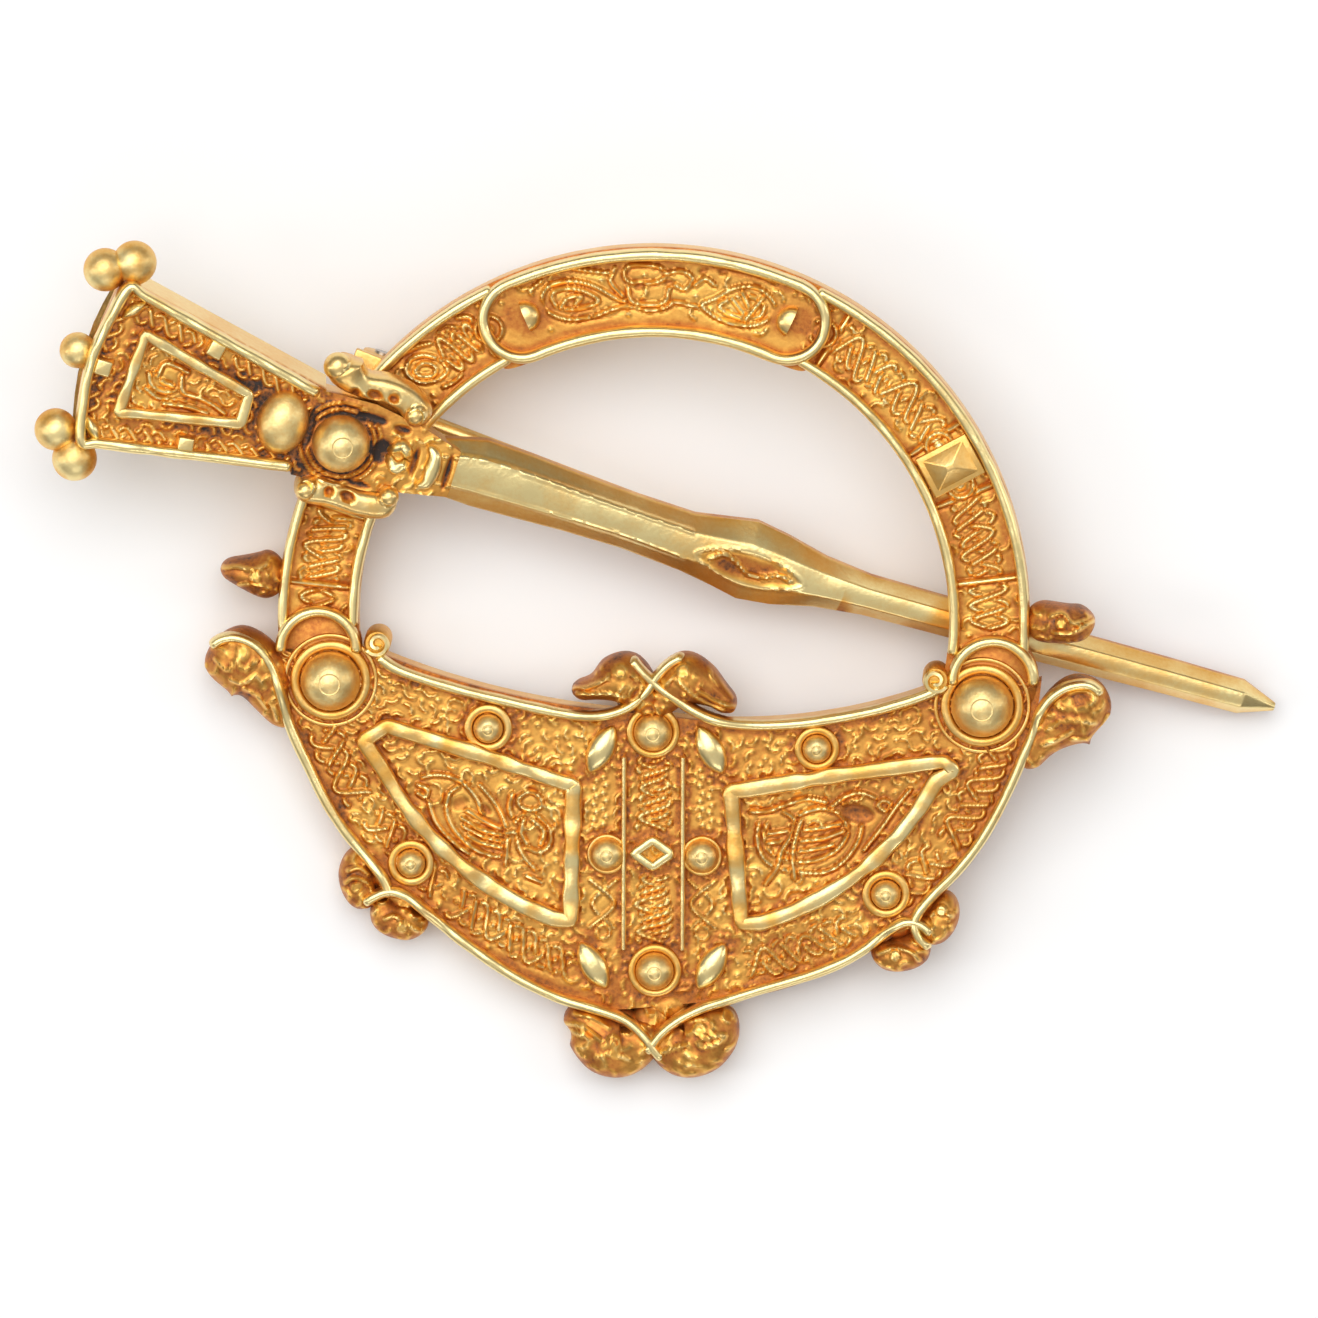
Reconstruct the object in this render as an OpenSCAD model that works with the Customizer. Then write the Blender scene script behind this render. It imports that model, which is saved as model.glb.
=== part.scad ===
// Closed ring brooch with a crescent terminal plate, a fixed ornamental pin
// in front and a hinged fastening stem behind, resting face up.
// The brooch's own frame has its origin at the ring's centre on the flat back,
// +X to the right, +Y to the top of the face and +Z out of the face.

/* [Ring] */
// Outer radius of the ring
ring_outer_r = 15.6; // [15.4:0.1:15.8]
// Inner radius of the ring
ring_inner_r = 12.25; // [12:0.05:12.4]
// Height of the ring's sunk panels above the back
ring_floor = 1.3; // [1.1:0.1:1.4]
// Height of the ring's rims above the back
ring_rim_h = 1.8; // [1.7:0.05:1.8]
// Width of the raised rims
rim_w = 0.46; // [0.4:0.02:0.5]
// Half angle of the cartouche at the top of the ring
cartouche_half_deg = 23.6; // [22:0.2:25]
// Inner radius of the cartouche's frame
cartouche_inner_r = 11.9; // [11.8:0.05:12]

/* [Terminal plate] */
// Height of the plate's sunk ground above the back
plate_floor = 1.45; // [1.3:0.05:1.6]
// Height of the plate's outer rim above the back
plate_rim_h = 2; // [1.9:0.05:2.1]
// Height of the bar frames above the back
bar_h = 1.95; // [1.85:0.05:2.05]
// Width of the bars that frame the two side panels
bar_w = 0.6; // [0.5:0.05:0.7]
// Height of the low interlace above its ground
relief_h = 0.12; // [0.08:0.02:0.16]
// Width of an interlace strand
strand_w = 0.2; // [0.16:0.02:0.24]

/* [Ornamental pin] */
// Angle of the pin below the horizontal, seen from the face
pin_turn = 16.8; // [16.6:0.1:17]
// Slope of the pin, its head standing higher than its point
pin_slope = 6.1; // [6:0.1:6.2]
// Height of the neck's back above the ring's back
pin_lift = 1.6; // [1.6:0.05:1.7]
// Length from the neck boss to the chisel point
pin_reach = 40.8; // [40:0.1:41]
// Height of the pin head's rims above its back
head_h = 2.6; // [2.4:0.1:2.8]
// Height of the head's sunk ground above its back
head_floor = 2; // [1.8:0.1:2.1]
// Height of the shaft's flat top above its back
shaft_h = 1.35; // [1.2:0.05:1.35]

/* [Fastening stem] */
// Diameter of the stem
stem_d = 0.8; // [0.7:0.05:0.85]
// Length of the stem from the hinge to its point
stem_reach = 29.4; // [28.8:0.1:29.6]
// Slope of the stem down to the catch
stem_slope = 2; // [1.9:0.1:2.1]
// Radius of the hinge knuckles
knuckle_r = 0.8; // [0.75:0.05:0.85]
// Length of the hinge over its two knuckles
hinge_len = 4.1; // [4:0.05:4.2]
// Radius of the hinge rivet
hinge_rivet_r = 0.35; // [0.3:0.05:0.4]
// Radial clearance of rivets and shanks
gap = 0.03; // [0.02:0.01:0.05]

/* [Hidden] */
$fn = 64;

gold = "#D8A93C";
pale_gold = "#E2CF7C";
steel = "#8D8D90";

// Resting pose: the back leans on the hinge, the catch and the lowest lug
rest_roll = 5.98;
rest_pitch = -3.948;
rest_lift = 2.103;
rest_shift = [-0.065, 1.763];

// Step from a wall to the foot of the rim above it
rim_inset = 0.02;
// Rim of the cartouche, wider than the ring's
cartouche_rim_w = 0.5;
// Outer radius of the cartouche's frame, a little inside the ring's edge
cartouche_outer_r = ring_outer_r - 0.1;

// Places of the main features on the face
left_terminal = [-13.9, -1.25];
left_terminal_r = 1.8;
right_terminal = [14.1, -2.4];
right_terminal_r = 1.9;
// Lower edge of the plate, one arc a side
lower_left_c = [3.08, 2.55];
lower_left_r = 19.56;
lower_right_c = [1.16, -1.07];
lower_right_r = 15;
// Upper edge of the plate, one arc a side
upper_left_c = [1.37, 29.65];
upper_left_r = 33.6;
upper_right_c = [3.45, 18.52];
upper_right_r = 22.73;
plate_top_left = left_terminal.y;
plate_top_right = right_terminal.y;
// Sunk zone between the two central uprights
strip_x = [-1.2, 1.25];
strip_y = [-13.9, -5.6];
strip_w = 0.22;
lozenge_at = [0, -9.75];

// Studs: name, x, y, dome radius, collar radius, ground height
STUDS = [
    ["stud_big_left", -13.4, -2.6, 1.25, 1.6, 1.45],
    ["stud_big_right", 13.65, -3.45, 1.3, 1.65, 1.45],
    ["stud_top", 0, -4.65, 0.8, 1.08, 1.45],
    ["stud_bottom", 0.1, -14.7, 0.8, 1.08, 1.45],
    ["stud_inner_left", -1.9, -9.8, 0.7, 0.85, 1.45],
    ["stud_inner_right", 2.05, -9.85, 0.7, 0.85, 1.45],
    ["stud_upper_left", -6.85, -4.55, 0.62, 0.95, 1.45],
    ["stud_upper_right", 6.8, -5.3, 0.6, 0.9, 1.45],
    ["stud_lower_left", -10.05, -10.25, 0.6, 0.92, 1.45],
    ["stud_lower_right", 9.7, -11.4, 0.62, 0.95, 1.45]
];
stud_shank_r = 0.4;
stud_shank_l = 0.9;
collar_w = 0.2;
seat_clear = 0.01;
collar_h = 0.25;

// Bar frames: inner top, inner low, outer low and outer top corner, centre of the curved side
LEFT_BARS = [[-3, -6.5], [-3.1, -13.15], [-12.15, -5.05], [-11.3, -4.15], [0.45, -0.1]];
RIGHT_BARS = [[2.95, -6.7], [3.4, -13.2], [12.65, -6.1], [12.35, -5.45], [1.1, -1.15]];

// Leaf bosses on the plate: x, y, turn
LEAVES = [[-2.15, -5.4, 62], [2.4, -5.4, -62], [-2.45, -14.5, -60], [2.45, -14.5, 60]];
leaf_l = 1.75;
leaf_w = 0.68;

// Lugs as beads along a spine: x, y, half width, height above the back
LUG_TOP_LEFT = [[0.1, -4.0, 0.4, 1.9], [-0.5, -3.15, 0.8, 2.2], [-1.1, -2.5, 1.1, 2.5],
    [-1.75, -2.55, 0.95, 2.4], [-2.4, -2.85, 0.55, 2.15], [-3.0, -2.98, 0.42, 2.0], [-3.4, -3.0, 0.3, 1.7]];
LUG_TOP_RIGHT = [[0.05, -4.0, 0.4, 1.9], [0.6, -3.1, 0.8, 2.2], [1.3, -2.45, 1.1, 2.5],
    [2.0, -2.7, 0.9, 2.4], [2.65, -3.15, 0.6, 2.15], [3.05, -3.5, 0.48, 2.0], [3.35, -3.8, 0.35, 1.7]];
LUG_BOTTOM_LEFT = [[0.1, -16.95, 0.8, 1.9], [-0.95, -18.0, 1.1, 2.25], [-1.85, -17.88, 1.32, 2.4],
    [-2.75, -17.2, 1.05, 2.2], [-3.3, -16.8, 0.65, 1.9], [-3.7, -16.9, 0.35, 1.6]];
LUG_BOTTOM_RIGHT = [[0.1, -16.95, 0.8, 1.9], [1.05, -18.0, 1.12, 2.25], [1.95, -17.8, 1.32, 2.4],
    [2.8, -17.0, 1.1, 2.2], [3.35, -16.45, 0.75, 1.9]];
LUG_BOW_LEFT_UP = [[-12.3, -9.7, 0.45, 1.7], [-12.3, -10.75, 0.8, 2.05], [-12.0, -11.6, 0.75, 2.0],
    [-11.3, -11.7, 0.45, 1.8]];
LUG_BOW_LEFT_DOWN = [[-11.4, -11.7, 0.45, 1.8], [-11.05, -12.5, 0.75, 2.05], [-10.2, -12.8, 0.78, 2.05],
    [-9.35, -12.9, 0.5, 1.7]];
LUG_BOW_RIGHT_UP = [[10.9, -12.45, 0.4, 1.8], [11.6, -12.85, 0.75, 2.05], [12.05, -12.3, 0.72, 2.05],
    [12.25, -11.4, 0.45, 1.7]];
LUG_BOW_RIGHT_DOWN = [[11.15, -13.0, 0.45, 1.8], [10.85, -13.75, 0.75, 2.05], [9.95, -14.0, 0.72, 2.05],
    [9.1, -13.75, 0.5, 1.7]];
LUG_SIDE_LEFT = [[-15.2, -4.6, 0.45, 1.7], [-15.8, -3.5, 0.85, 2.0], [-16.3, -2.5, 1.25, 2.2],
    [-17.2, -1.9, 1.5, 2.4], [-17.95, -1.95, 1.2, 2.2], [-18.65, -2.05, 0.75, 1.7]];
LUG_SIDE_RIGHT = [[15.4, -6.1, 0.45, 1.7], [16.1, -5.0, 0.75, 2.0], [16.9, -4.15, 1.2, 2.2],
    [17.7, -3.66, 1.5, 2.4], [18.35, -3.62, 1.35, 2.2], [18.97, -3.78, 0.8, 1.7]];
LUG_RING_LEFT = [[-15.3, 1.85, 1.2, 1.7], [-16.2, 1.75, 0.98, 2.1], [-17.0, 1.85, 0.7, 2.0],
    [-17.6, 1.95, 0.48, 1.8], [-18.0, 2.0, 0.35, 1.5]];
LUG_RING_RIGHT = [[15.4, 0.1, 0.85, 1.7], [16.4, 0, 0.85, 2.1], [17.2, -0.05, 0.8, 2.2],
    [17.9, 0, 0.72, 2.0], [18.3, 0.05, 0.5, 1.6]];
LUGS = [LUG_TOP_LEFT, LUG_TOP_RIGHT, LUG_BOTTOM_LEFT, LUG_BOTTOM_RIGHT, LUG_BOW_LEFT_UP,
    LUG_BOW_LEFT_DOWN, LUG_BOW_RIGHT_UP, LUG_BOW_RIGHT_DOWN, LUG_SIDE_LEFT, LUG_SIDE_RIGHT,
    LUG_RING_LEFT, LUG_RING_RIGHT];
// Raised ridges that run from the plate's rims over the lugs: points on the face
RIDGES = [
    [[-15.1, -3.9], [-15.4, -2.8], [-15.8, -1.9], [-16.4, -1.2], [-17.2, -0.8], [-17.9, -0.85],
        [-18.4, -1.2]],
    [[15.55, -5.1], [15.95, -3.9], [16.5, -3.05], [17.2, -2.6], [18.05, -2.5], [18.65, -2.9]],
    [[-3.95, -3.66], [-2.25, -3.84], [-1.1, -3.6], [-0.35, -3.0], [0.1, -2.35], [0.65, -1.75], [1.3, -1.4]],
    [[3.7, -4.15], [2.1, -3.9], [1.0, -3.3], [0.1, -2.7], [-0.5, -2.05], [-0.95, -1.5]],
    [[-3.6, -16.0], [-2.2, -16.3], [-1.1, -16.75], [-0.35, -17.4], [0.1, -18.0], [0.5, -18.4]],
    [[3.7, -15.75], [2.0, -16.2], [0.95, -16.8], [0.15, -17.55], [-0.3, -18.15]],
    [[-12.9, -8.9], [-11.9, -10.05], [-11.2, -11.0], [-10.9, -11.7]],
    [[-9.25, -12.1], [-10.1, -11.6], [-10.9, -11.4], [-11.55, -11.6], [-12.05, -11.95]],
    [[12.8, -10.1], [11.8, -11.3], [11.15, -12.2], [10.95, -12.8], [11.2, -13.4], [11.6, -13.7]],
    [[8.65, -13.45], [9.7, -12.85], [10.5, -12.5], [11.2, -12.6], [11.65, -13.05]]
];
ridge_half_w = 0.21;
ridge_base = 1.0;
ridge_h = 2.28;
// Round curls at the ends of the plate's upper rim: x, y, radius
CURLS = [[-11.45, -0.98, 0.56], [11.72, -2.35, 0.56]];
curl_h = 2.05;
curl_eye_r = 0.28;

// Interlace bands on the ring: from degree, to degree, crossings
RING_BANDS = [[123, 139, 3], [161, 174, 3], [34.5, 56, 4], [8, 21.5, 4]];
ring_mid_r = (ring_inner_r + ring_outer_r) / 2;
ring_band_amp = 0.72;
CARTOUCHE_BAND = [70, 110, 7];
cartouche_band_amp = 0.85;
border_band_amp = 0.42;

// Neck boss on the face, and the round seat under it
pin_at = [-13.1, 7.72];
seat_at = [-12.93, 7.67];
seat_r = 1.35;
seat_h = pin_lift - 0.35;

// Pin head in the pin's frame: along the pin, across it
HEAD_TL = [-10.5, 4.02];
HEAD_TR = [-1.2, 1.95];
HEAD_BR = [-1.4, -1.7];
HEAD_BL = [-10.55, -3.12];
head_end_bulge = 0.6;
HEAD_BARS = [[-9.3, 2.35], [-4.0, 1.15], [-4.0, -0.6], [-9.45, -1.55]];
head_bar_w = 0.5;
head_bar_h = 2.5;
// Square bosses on the head: x, y, turn
HEAD_SQUARES = [[-6.1, 2.32, -12], [-10.35, 0.3, 0], [-6.15, -1.85, 8]];
head_square = 0.85;
HEAD_LEAVES = [[-9.8, 2.95, 50], [-10.0, -2.3, -50]];
head_leaf_l = 1.3;
// Corner knobs of the head: x, y, radius
HEAD_KNOBS = [[-11.38, 4.12, 0.9], [-10.3, 4.74, 0.92], [-11.5, 0.58, 0.75],
    [-11.42, -2.85, 0.88], [-10.32, -3.8, 0.93]];
knob_z = 1.5;
oval_at = [-2.55, 0.15];
oval_half = [1.08, 1.38, 0.95];
neck_boss_r = 1.2;
neck_shank_r = 0.45;
neck_h = 2.1;
NECK = [[-1.6, 1.9], [1, 1.95], [3, 1.6], [4.9, 1.02], [4.9, -0.95], [3, -1.3], [1, -1.8], [-1.6, -1.85]];
NECK_BOW = [[-0.55, 0.1], [0.1, 0.75], [0.35, 0.3], [0.7, 0.15], [0.35, -0.1], [0.1, -0.6], [-0.55, -0.15]];
// Scrolls beside the neck, as beads: along the pin, across it, half width, height
SCROLL_UP = [[-0.95, 3.5, 0.4, 2.4], [-0.7, 3.0, 0.68, 2.75], [0.2, 2.6, 0.5, 2.5], [1.2, 2.65, 0.52, 2.5],
    [2.1, 2.5, 0.55, 2.5], [2.7, 2.05, 0.55, 2.5], [2.75, 1.5, 0.45, 2.3]];
SCROLL_DOWN = [[-1.2, -1.9, 0.4, 2.3], [-0.75, -2.2, 0.55, 2.5], [0.3, -2.15, 0.5, 2.4],
    [1.4, -2.2, 0.5, 2.4], [2.35, -2.05, 0.52, 2.4], [2.85, -1.5, 0.42, 2.2]];
// Shaft sections: along the pin, middle, half width, height of its top, height of its sides
SHAFT = [[4.2, 0.05, 1.15, 1.6, 0.9], [6, 0.2, 1.42, 1.5, 0.8], [8, 0.17, 1.36, 1.47, 0.78],
    [10, 0.1, 1.24, 1.45, 0.75], [12.5, 0, 1.16, 1.42, 0.72], [15.2, -0.16, 1.22, 1.4, 0.7],
    [16.6, -0.16, 1.45, 1.38, 0.7], [17.8, -0.18, 1.67, shaft_h, 0.7], [19.2, -0.22, 1.48, shaft_h, 0.7],
    [21, -0.22, 1.06, shaft_h, 0.7], [23, -0.22, 0.84, shaft_h, 0.67], [26, -0.18, 0.8, shaft_h, 0.65],
    [31, -0.1, 0.79, 1.3, 0.6], [36, 0, 0.74, 1.24, 0.55], [39.3, 0.03, 0.7, 1.2, 0.5]];
shaft_top_share = 0.45;
pin_tip_h = 0.35;
pin_tip_w = 0.15;
lozenge_sunk = 0.2;
lozenge_u = 17.9;
lozenge_v = -0.43;
lozenge_half = [2.3, 0.62];

// Hinge and catch
hinge_at = [-12.1, 8.8];
hinge_z = -1.15;
stem_turn = -20.8;
barrel_l = 1.8;
hinge_side_gap = 0.08;
hinge_plate_t = 0.35;
catch_from = 26.9;
catch_l = 2;
catch_w = 1.5;
catch_slot_r = stem_d / 2 + 0.06;
catch_lip = 0.35;
stem_point_l = 3;

// One ring of points round a bead: flat back, arched top
function bead_ring(row, dir, base) = let (side = [-dir.y, dir.x], n = 6)
    concat([[row.x + side.x * row[2], row.y + side.y * row[2], base]],
        [for (k = [0:n])
            let (c = cos(180 * k / n), s = sin(180 * k / n), low = base + (row[3] - base) * 0.45)
            [row.x + side.x * row[2] * c, row.y + side.y * row[2] * c, low + (row[3] - low) * s]],
        [[row.x - side.x * row[2], row.y - side.y * row[2], base]]);
function unit(v) = v / norm(v);
function spine_dir(rows, i) = let (a = rows[max(i - 1, 0)], b = rows[min(i + 1, len(rows) - 1)])
    unit([b.x - a.x, b.y - a.y]);

// Closed skin through a list of rings with equal numbers of points
module loft(rings) {
    m = len(rings[0]);
    n = len(rings);
    points = [for (r = rings) each r];
    walls = [for (i = [0:n - 2]) for (j = [0:m - 1]) let (k = (j + 1) % m)
        each [[i * m + k, i * m + j, (i + 1) * m + k], [(i + 1) * m + k, i * m + j, (i + 1) * m + j]]];
    first = [for (j = [0:m - 1]) j];
    last = [for (j = [m - 1:-1:0]) (n - 1) * m + j];
    polyhedron(points, concat(walls, [first, last]));
}

module bead(rows, base) {
    loft([for (i = [0:len(rows) - 1]) bead_ring(rows[i], spine_dir(rows, i), base)]);
}

module arc_band(r_in, r_out, z0, z1, from_deg, to_deg) {
    rotate([0, 0, from_deg])
        rotate_extrude(angle = to_deg - from_deg, $fn = 128)
            translate([r_in, z0])
                square([r_out - r_in, z1 - z0]);
}

// Ribbon polygon that weaves round a circle of radius r
function weave(r, amp, a0, a1, waves, phase, w) = let (n = waves * 6)
    concat([for (i = [0:n]) weave_point(r + w / 2, amp, a0, a1, waves, phase, i / n)],
        [for (i = [n:-1:0]) weave_point(r - w / 2, amp, a0, a1, waves, phase, i / n)]);
function weave_point(r, amp, a0, a1, waves, phase, t) =
    polar(r + amp * sin(180 * waves * t + phase), a0 + (a1 - a0) * t);
function polar(r, a) = [r * cos(a), r * sin(a)];

// Two strands that cross each other and one that runs straight between them
module woven_band(r, amp, band, w) {
    offset(delta = 0.01) {
        polygon(weave(r, amp, band[0], band[1], band[2], 0, w));
        polygon(weave(r, amp, band[0], band[1], band[2], 180, w));
    }
}

// Plate outline, drawn in from its edge by the inset
module plate_shape(inset) {
    difference() {
        union() {
            intersection() {
                translate(lower_left_c)
                    circle(r = lower_left_r - inset, $fn = 180);
                translate([-17, -18])
                    square([17, 18 + plate_top_left]);
            }
            intersection() {
                translate(lower_right_c)
                    circle(r = lower_right_r - inset, $fn = 180);
                translate([-0.01, -18])
                    square([18, 18 + plate_top_right]);
            }
        }
        intersection() {
            translate(upper_left_c)
                circle(r = upper_left_r + inset, $fn = 180);
            translate([-18, -6])
                square([18, 8]);
        }
        intersection() {
            translate(upper_right_c)
                circle(r = upper_right_r + inset, $fn = 180);
            translate([-0.02, -6])
                square([18, 8]);
        }
    }
}

// Round end of the plate where it meets the ring, with its rim
module terminal(at, r) {
    translate([at.x, at.y, 0]) {
        cylinder(r = r, h = plate_floor - 0.02);
        arc_band(r - rim_w, r - rim_inset, plate_floor - 0.2, plate_rim_h + 0.02, -8, 188);
    }
}

module ring_body() {
    arc_band(ring_inner_r, ring_outer_r, 0, ring_floor, -11, 190);
    for (arc = [[-6, 87 - cartouche_half_deg], [93 + cartouche_half_deg, 183]])
        arc_band(ring_outer_r - rim_w, ring_outer_r - rim_inset, ring_floor - 0.2, ring_rim_h,
            arc[0], arc[1]);
    for (arc = [[-7, 85 - cartouche_half_deg], [95 + cartouche_half_deg, 183]])
        arc_band(ring_inner_r + rim_inset, ring_inner_r + rim_w, ring_floor - 0.2, ring_rim_h,
            arc[0], arc[1]);
    for (b = RING_BANDS)
        translate([0, 0, ring_floor - 0.1])
            linear_extrude(relief_h + 0.1)
                woven_band(ring_mid_r, ring_band_amp, b, strand_w);
}

// Long rounded frame over the top of the ring
module cartouche() {
    mid_r = (cartouche_inner_r + cartouche_outer_r) / 2;
    half = (cartouche_outer_r - cartouche_inner_r) / 2;
    top = ring_rim_h + 0.12;
    a0 = 90 - cartouche_half_deg;
    a1 = 90 + cartouche_half_deg;
    difference() {
        union() {
            arc_band(cartouche_inner_r, cartouche_outer_r, 0.01, top, a0, a1);
            for (a = [a0, a1])
                rotate([0, 0, a])
                    translate([mid_r, 0, 0.01])
                        cylinder(r = half, h = top - 0.01);
        }
        arc_band(mid_r - half + cartouche_rim_w, mid_r + half - cartouche_rim_w,
            ring_floor, top + 1, a0, a1);
        for (a = [a0, a1])
            rotate([0, 0, a])
                translate([mid_r, 0, ring_floor])
                    cylinder(r = half - cartouche_rim_w, h = top);
    }
    translate([0, 0, ring_floor - 0.1])
        linear_extrude(relief_h + 0.1)
            woven_band(mid_r, cartouche_band_amp, CARTOUCHE_BAND, strand_w);
    for (a = [a0 + 0.8, a1 - 0.8])
        rotate([0, 0, a])
            translate([mid_r, 0, ring_floor - 0.1])
                d_boss(sign(90 - a));
}

// Half round boss with its flat towards the middle of the cartouche
module d_boss(side) {
    intersection() {
        cylinder(r = 0.62, h = 0.6);
        translate([-1, side > 0 ? -0.7 : 0.02, 0])
            cube([2, 0.68, 1]);
    }
}

// Four-sided boss between the ring's rims
module pyramid_boss() {
    rotate([0, 0, 28.2])
        translate([ring_mid_r, 0, ring_floor - 0.1]) {
            w = ring_outer_r - ring_inner_r - 2 * rim_w - 0.1;
            l = 1.9;
            h = 0.35;
            loft([[[-w / 2, -l / 2, 0], [w / 2, -l / 2, 0], [w / 2, l / 2, 0], [-w / 2, l / 2, 0]],
                [[-w / 2, -l / 2, h], [w / 2, -l / 2, h], [w / 2, l / 2, h], [-w / 2, l / 2, h]],
                [[-w * 0.08, -l * 0.08, h + 0.4], [w * 0.08, -l * 0.08, h + 0.4],
                    [w * 0.08, l * 0.08, h + 0.4], [-w * 0.08, l * 0.08, h + 0.4]]]);
        }
}

module leaf(at, turn, l, w, z0, z1) {
    r = (l * l / 4 + w * w / 4) / w;
    translate([at.x, at.y, z0])
        rotate([0, 0, turn])
            intersection() {
                translate([0, r - w / 2, 0])
                    cylinder(r = r, h = z1 - z0);
                translate([0, -(r - w / 2), 0])
                    cylinder(r = r, h = z1 - z0);
            }
}

// Corners of a side panel's bar frame and the arc that closes it
function arc_points(c, r, a0, a1, n) = [for (i = [0:n]) c + polar(r, a0 + (a1 - a0) * i / n)];
function angle_to(c, p) = atan2(p.y - c.y, p.x - c.x);

module bar_frame(frame) {
    c = frame[4];
    a0 = angle_to(c, frame[1]);
    a1 = angle_to(c, frame[2]);
    r = norm(frame[1] - c);
    shape = concat([frame[0]], arc_points(c, r, a0, a1, 14), [frame[3]]);
    translate([0, 0, plate_floor - 0.1])
        linear_extrude(bar_h - plate_floor + 0.1)
            difference() {
                offset(delta = 0.01)
                    polygon(shape);
                offset(delta = -bar_w)
                    polygon(shape);
            }
}

// Coiled strand inside a bar frame
function coil(at, r0, r1, a0, turns, w) = let (n = round(turns * 16))
    concat([for (i = [0:n]) at + polar(r0 + (r1 - r0) * i / n + w / 2, a0 + 360 * turns * i / n)],
        [for (i = [n:-1:0]) at + polar(r0 + (r1 - r0) * i / n - w / 2, a0 + 360 * turns * i / n)]);

module panel_coils(side) {
    translate([0, 0, plate_floor - 0.1])
        linear_extrude(relief_h + 0.1)
            offset(delta = 0.01) {
                polygon(coil([side * 5.6, -9.0], 0.3, 1.25, 90, 1.5, strand_w));
                polygon(coil([side * 7.6, -8.1], 0.2, 0.95, 200, 1.4, strand_w));
                polygon(coil([side * 4.7, -11.3], 0.15, 0.7, 20, 1.3, strand_w));
            }
}

module border_band(c, r, band) {
    translate([c.x, c.y, plate_floor - 0.1])
        linear_extrude(relief_h + 0.1)
            woven_band(r, border_band_amp, band, strand_w);
}

module centre_strip() {
    for (x = [strip_x[0], strip_x[1]])
        translate([x - strip_w / 2, strip_y[0], plate_floor - 0.1])
            cube([strip_w, strip_y[1] - strip_y[0], 0.45]);
    translate([lozenge_at.x, lozenge_at.y, plate_floor - 0.1])
        difference() {
            linear_extrude(0.5)
                polygon([[-1.02, 0], [0, -0.76], [1.02, 0], [0, 0.76]]);
            translate([0, 0, 0.3])
                linear_extrude(1)
                    polygon([[-0.5, 0], [0, -0.34], [0.5, 0], [0, 0.34]]);
        }
}

module collars() {
    for (s = STUDS)
        translate([s[1], s[2], s[5] - 0.1])
            cylinder(r = s[4], h = collar_h + 0.1);
}

// Clear room inside each collar, with the hole for the stud's shank
module stud_seats() {
    for (s = STUDS) {
        translate([s[1], s[2], s[5] - stud_shank_l - 0.05])
            cylinder(r = stud_shank_r + gap, h = 4);
        translate([s[1], s[2], s[5] + seat_clear])
            cylinder(r = max(s[4] - collar_w, s[3] + gap), h = 3);
    }
}

// Places a child from the pin's frame: x along the pin, y across, z off its back
module in_pin_frame() {
    translate([pin_at.x, pin_at.y, pin_lift])
        rotate([0, 0, -pin_turn])
            rotate([0, pin_slope, 0])
                children();
}

// Places a child from the stem's frame: x along the stem, y along the hinge
module in_stem_frame() {
    translate([hinge_at.x, hinge_at.y, hinge_z])
        rotate([0, 0, stem_turn])
            children();
}

module at_rest() {
    translate([rest_shift.x, rest_shift.y, rest_lift])
        rotate([rest_roll, rest_pitch, 0])
            children();
}

module hinge_knuckles() {
    in_stem_frame() {
        difference() {
            union() {
                translate([-1.1, -hinge_len / 2, -hinge_z - hinge_plate_t])
                    cube([2.2, hinge_len, hinge_plate_t + 0.1]);
                for (s = [-1, 1])
                    translate([0, s > 0 ? barrel_l / 2 + hinge_side_gap : -hinge_len / 2, 0]) {
                        l = hinge_len / 2 - barrel_l / 2 - hinge_side_gap;
                        rotate([-90, 0, 0])
                            cylinder(r = knuckle_r, h = l);
                        translate([-knuckle_r, 0, 0])
                            cube([2 * knuckle_r, l, -hinge_z - hinge_plate_t + 0.05]);
                    }
            }
            rotate([90, 0, 0])
                translate([0, 0, -hinge_len])
                    cylinder(r = hinge_rivet_r + gap, h = 2 * hinge_len);
        }
    }
}

module frame_node() {
    color(gold)
        at_rest()
            difference() {
                union() {
                    ring_body();
                    cartouche();
                    pyramid_boss();
                    difference() {
                        linear_extrude(plate_rim_h)
                            plate_shape(0);
                        translate([0, 0, plate_floor])
                            linear_extrude(plate_rim_h)
                                plate_shape(rim_w);
                    }
                    terminal(left_terminal, left_terminal_r);
                    terminal(right_terminal, right_terminal_r);
                    collars();
                    for (v = LEAVES)
                        leaf([v[0], v[1]], v[2], leaf_l, leaf_w, plate_floor - 0.1, bar_h);
                    bar_frame(LEFT_BARS);
                    bar_frame(RIGHT_BARS);
                    panel_coils(-1);
                    panel_coils(1);
                    border_band(lower_left_c, lower_left_r - 1.3, [215, 237, 7]);
                    border_band(lower_right_c, lower_right_r - 1.4, [284, 304, 7]);
                    centre_strip();
                    for (l = LUGS)
                        bead(l, 0.05);
                    for (path = RIDGES)
                        bead([for (q = path) [q.x, q.y, ridge_half_w, ridge_h]], ridge_base);
                    for (c = CURLS)
                        translate([c.x, c.y, 0.02])
                            difference() {
                                cylinder(r = c[2], h = curl_h);
                                translate([0, 0, curl_h - 0.3])
                                    cylinder(r = curl_eye_r, h = 1);
                            }
                    translate([seat_at.x, seat_at.y, 0])
                        cylinder(r = seat_r, h = seat_h);
                    hinge_knuckles();
                }
                stud_seats();
                in_pin_frame()
                    translate([0, 0, -1.2])
                        cylinder(r = neck_shank_r + gap, h = 3);
            }
}

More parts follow.
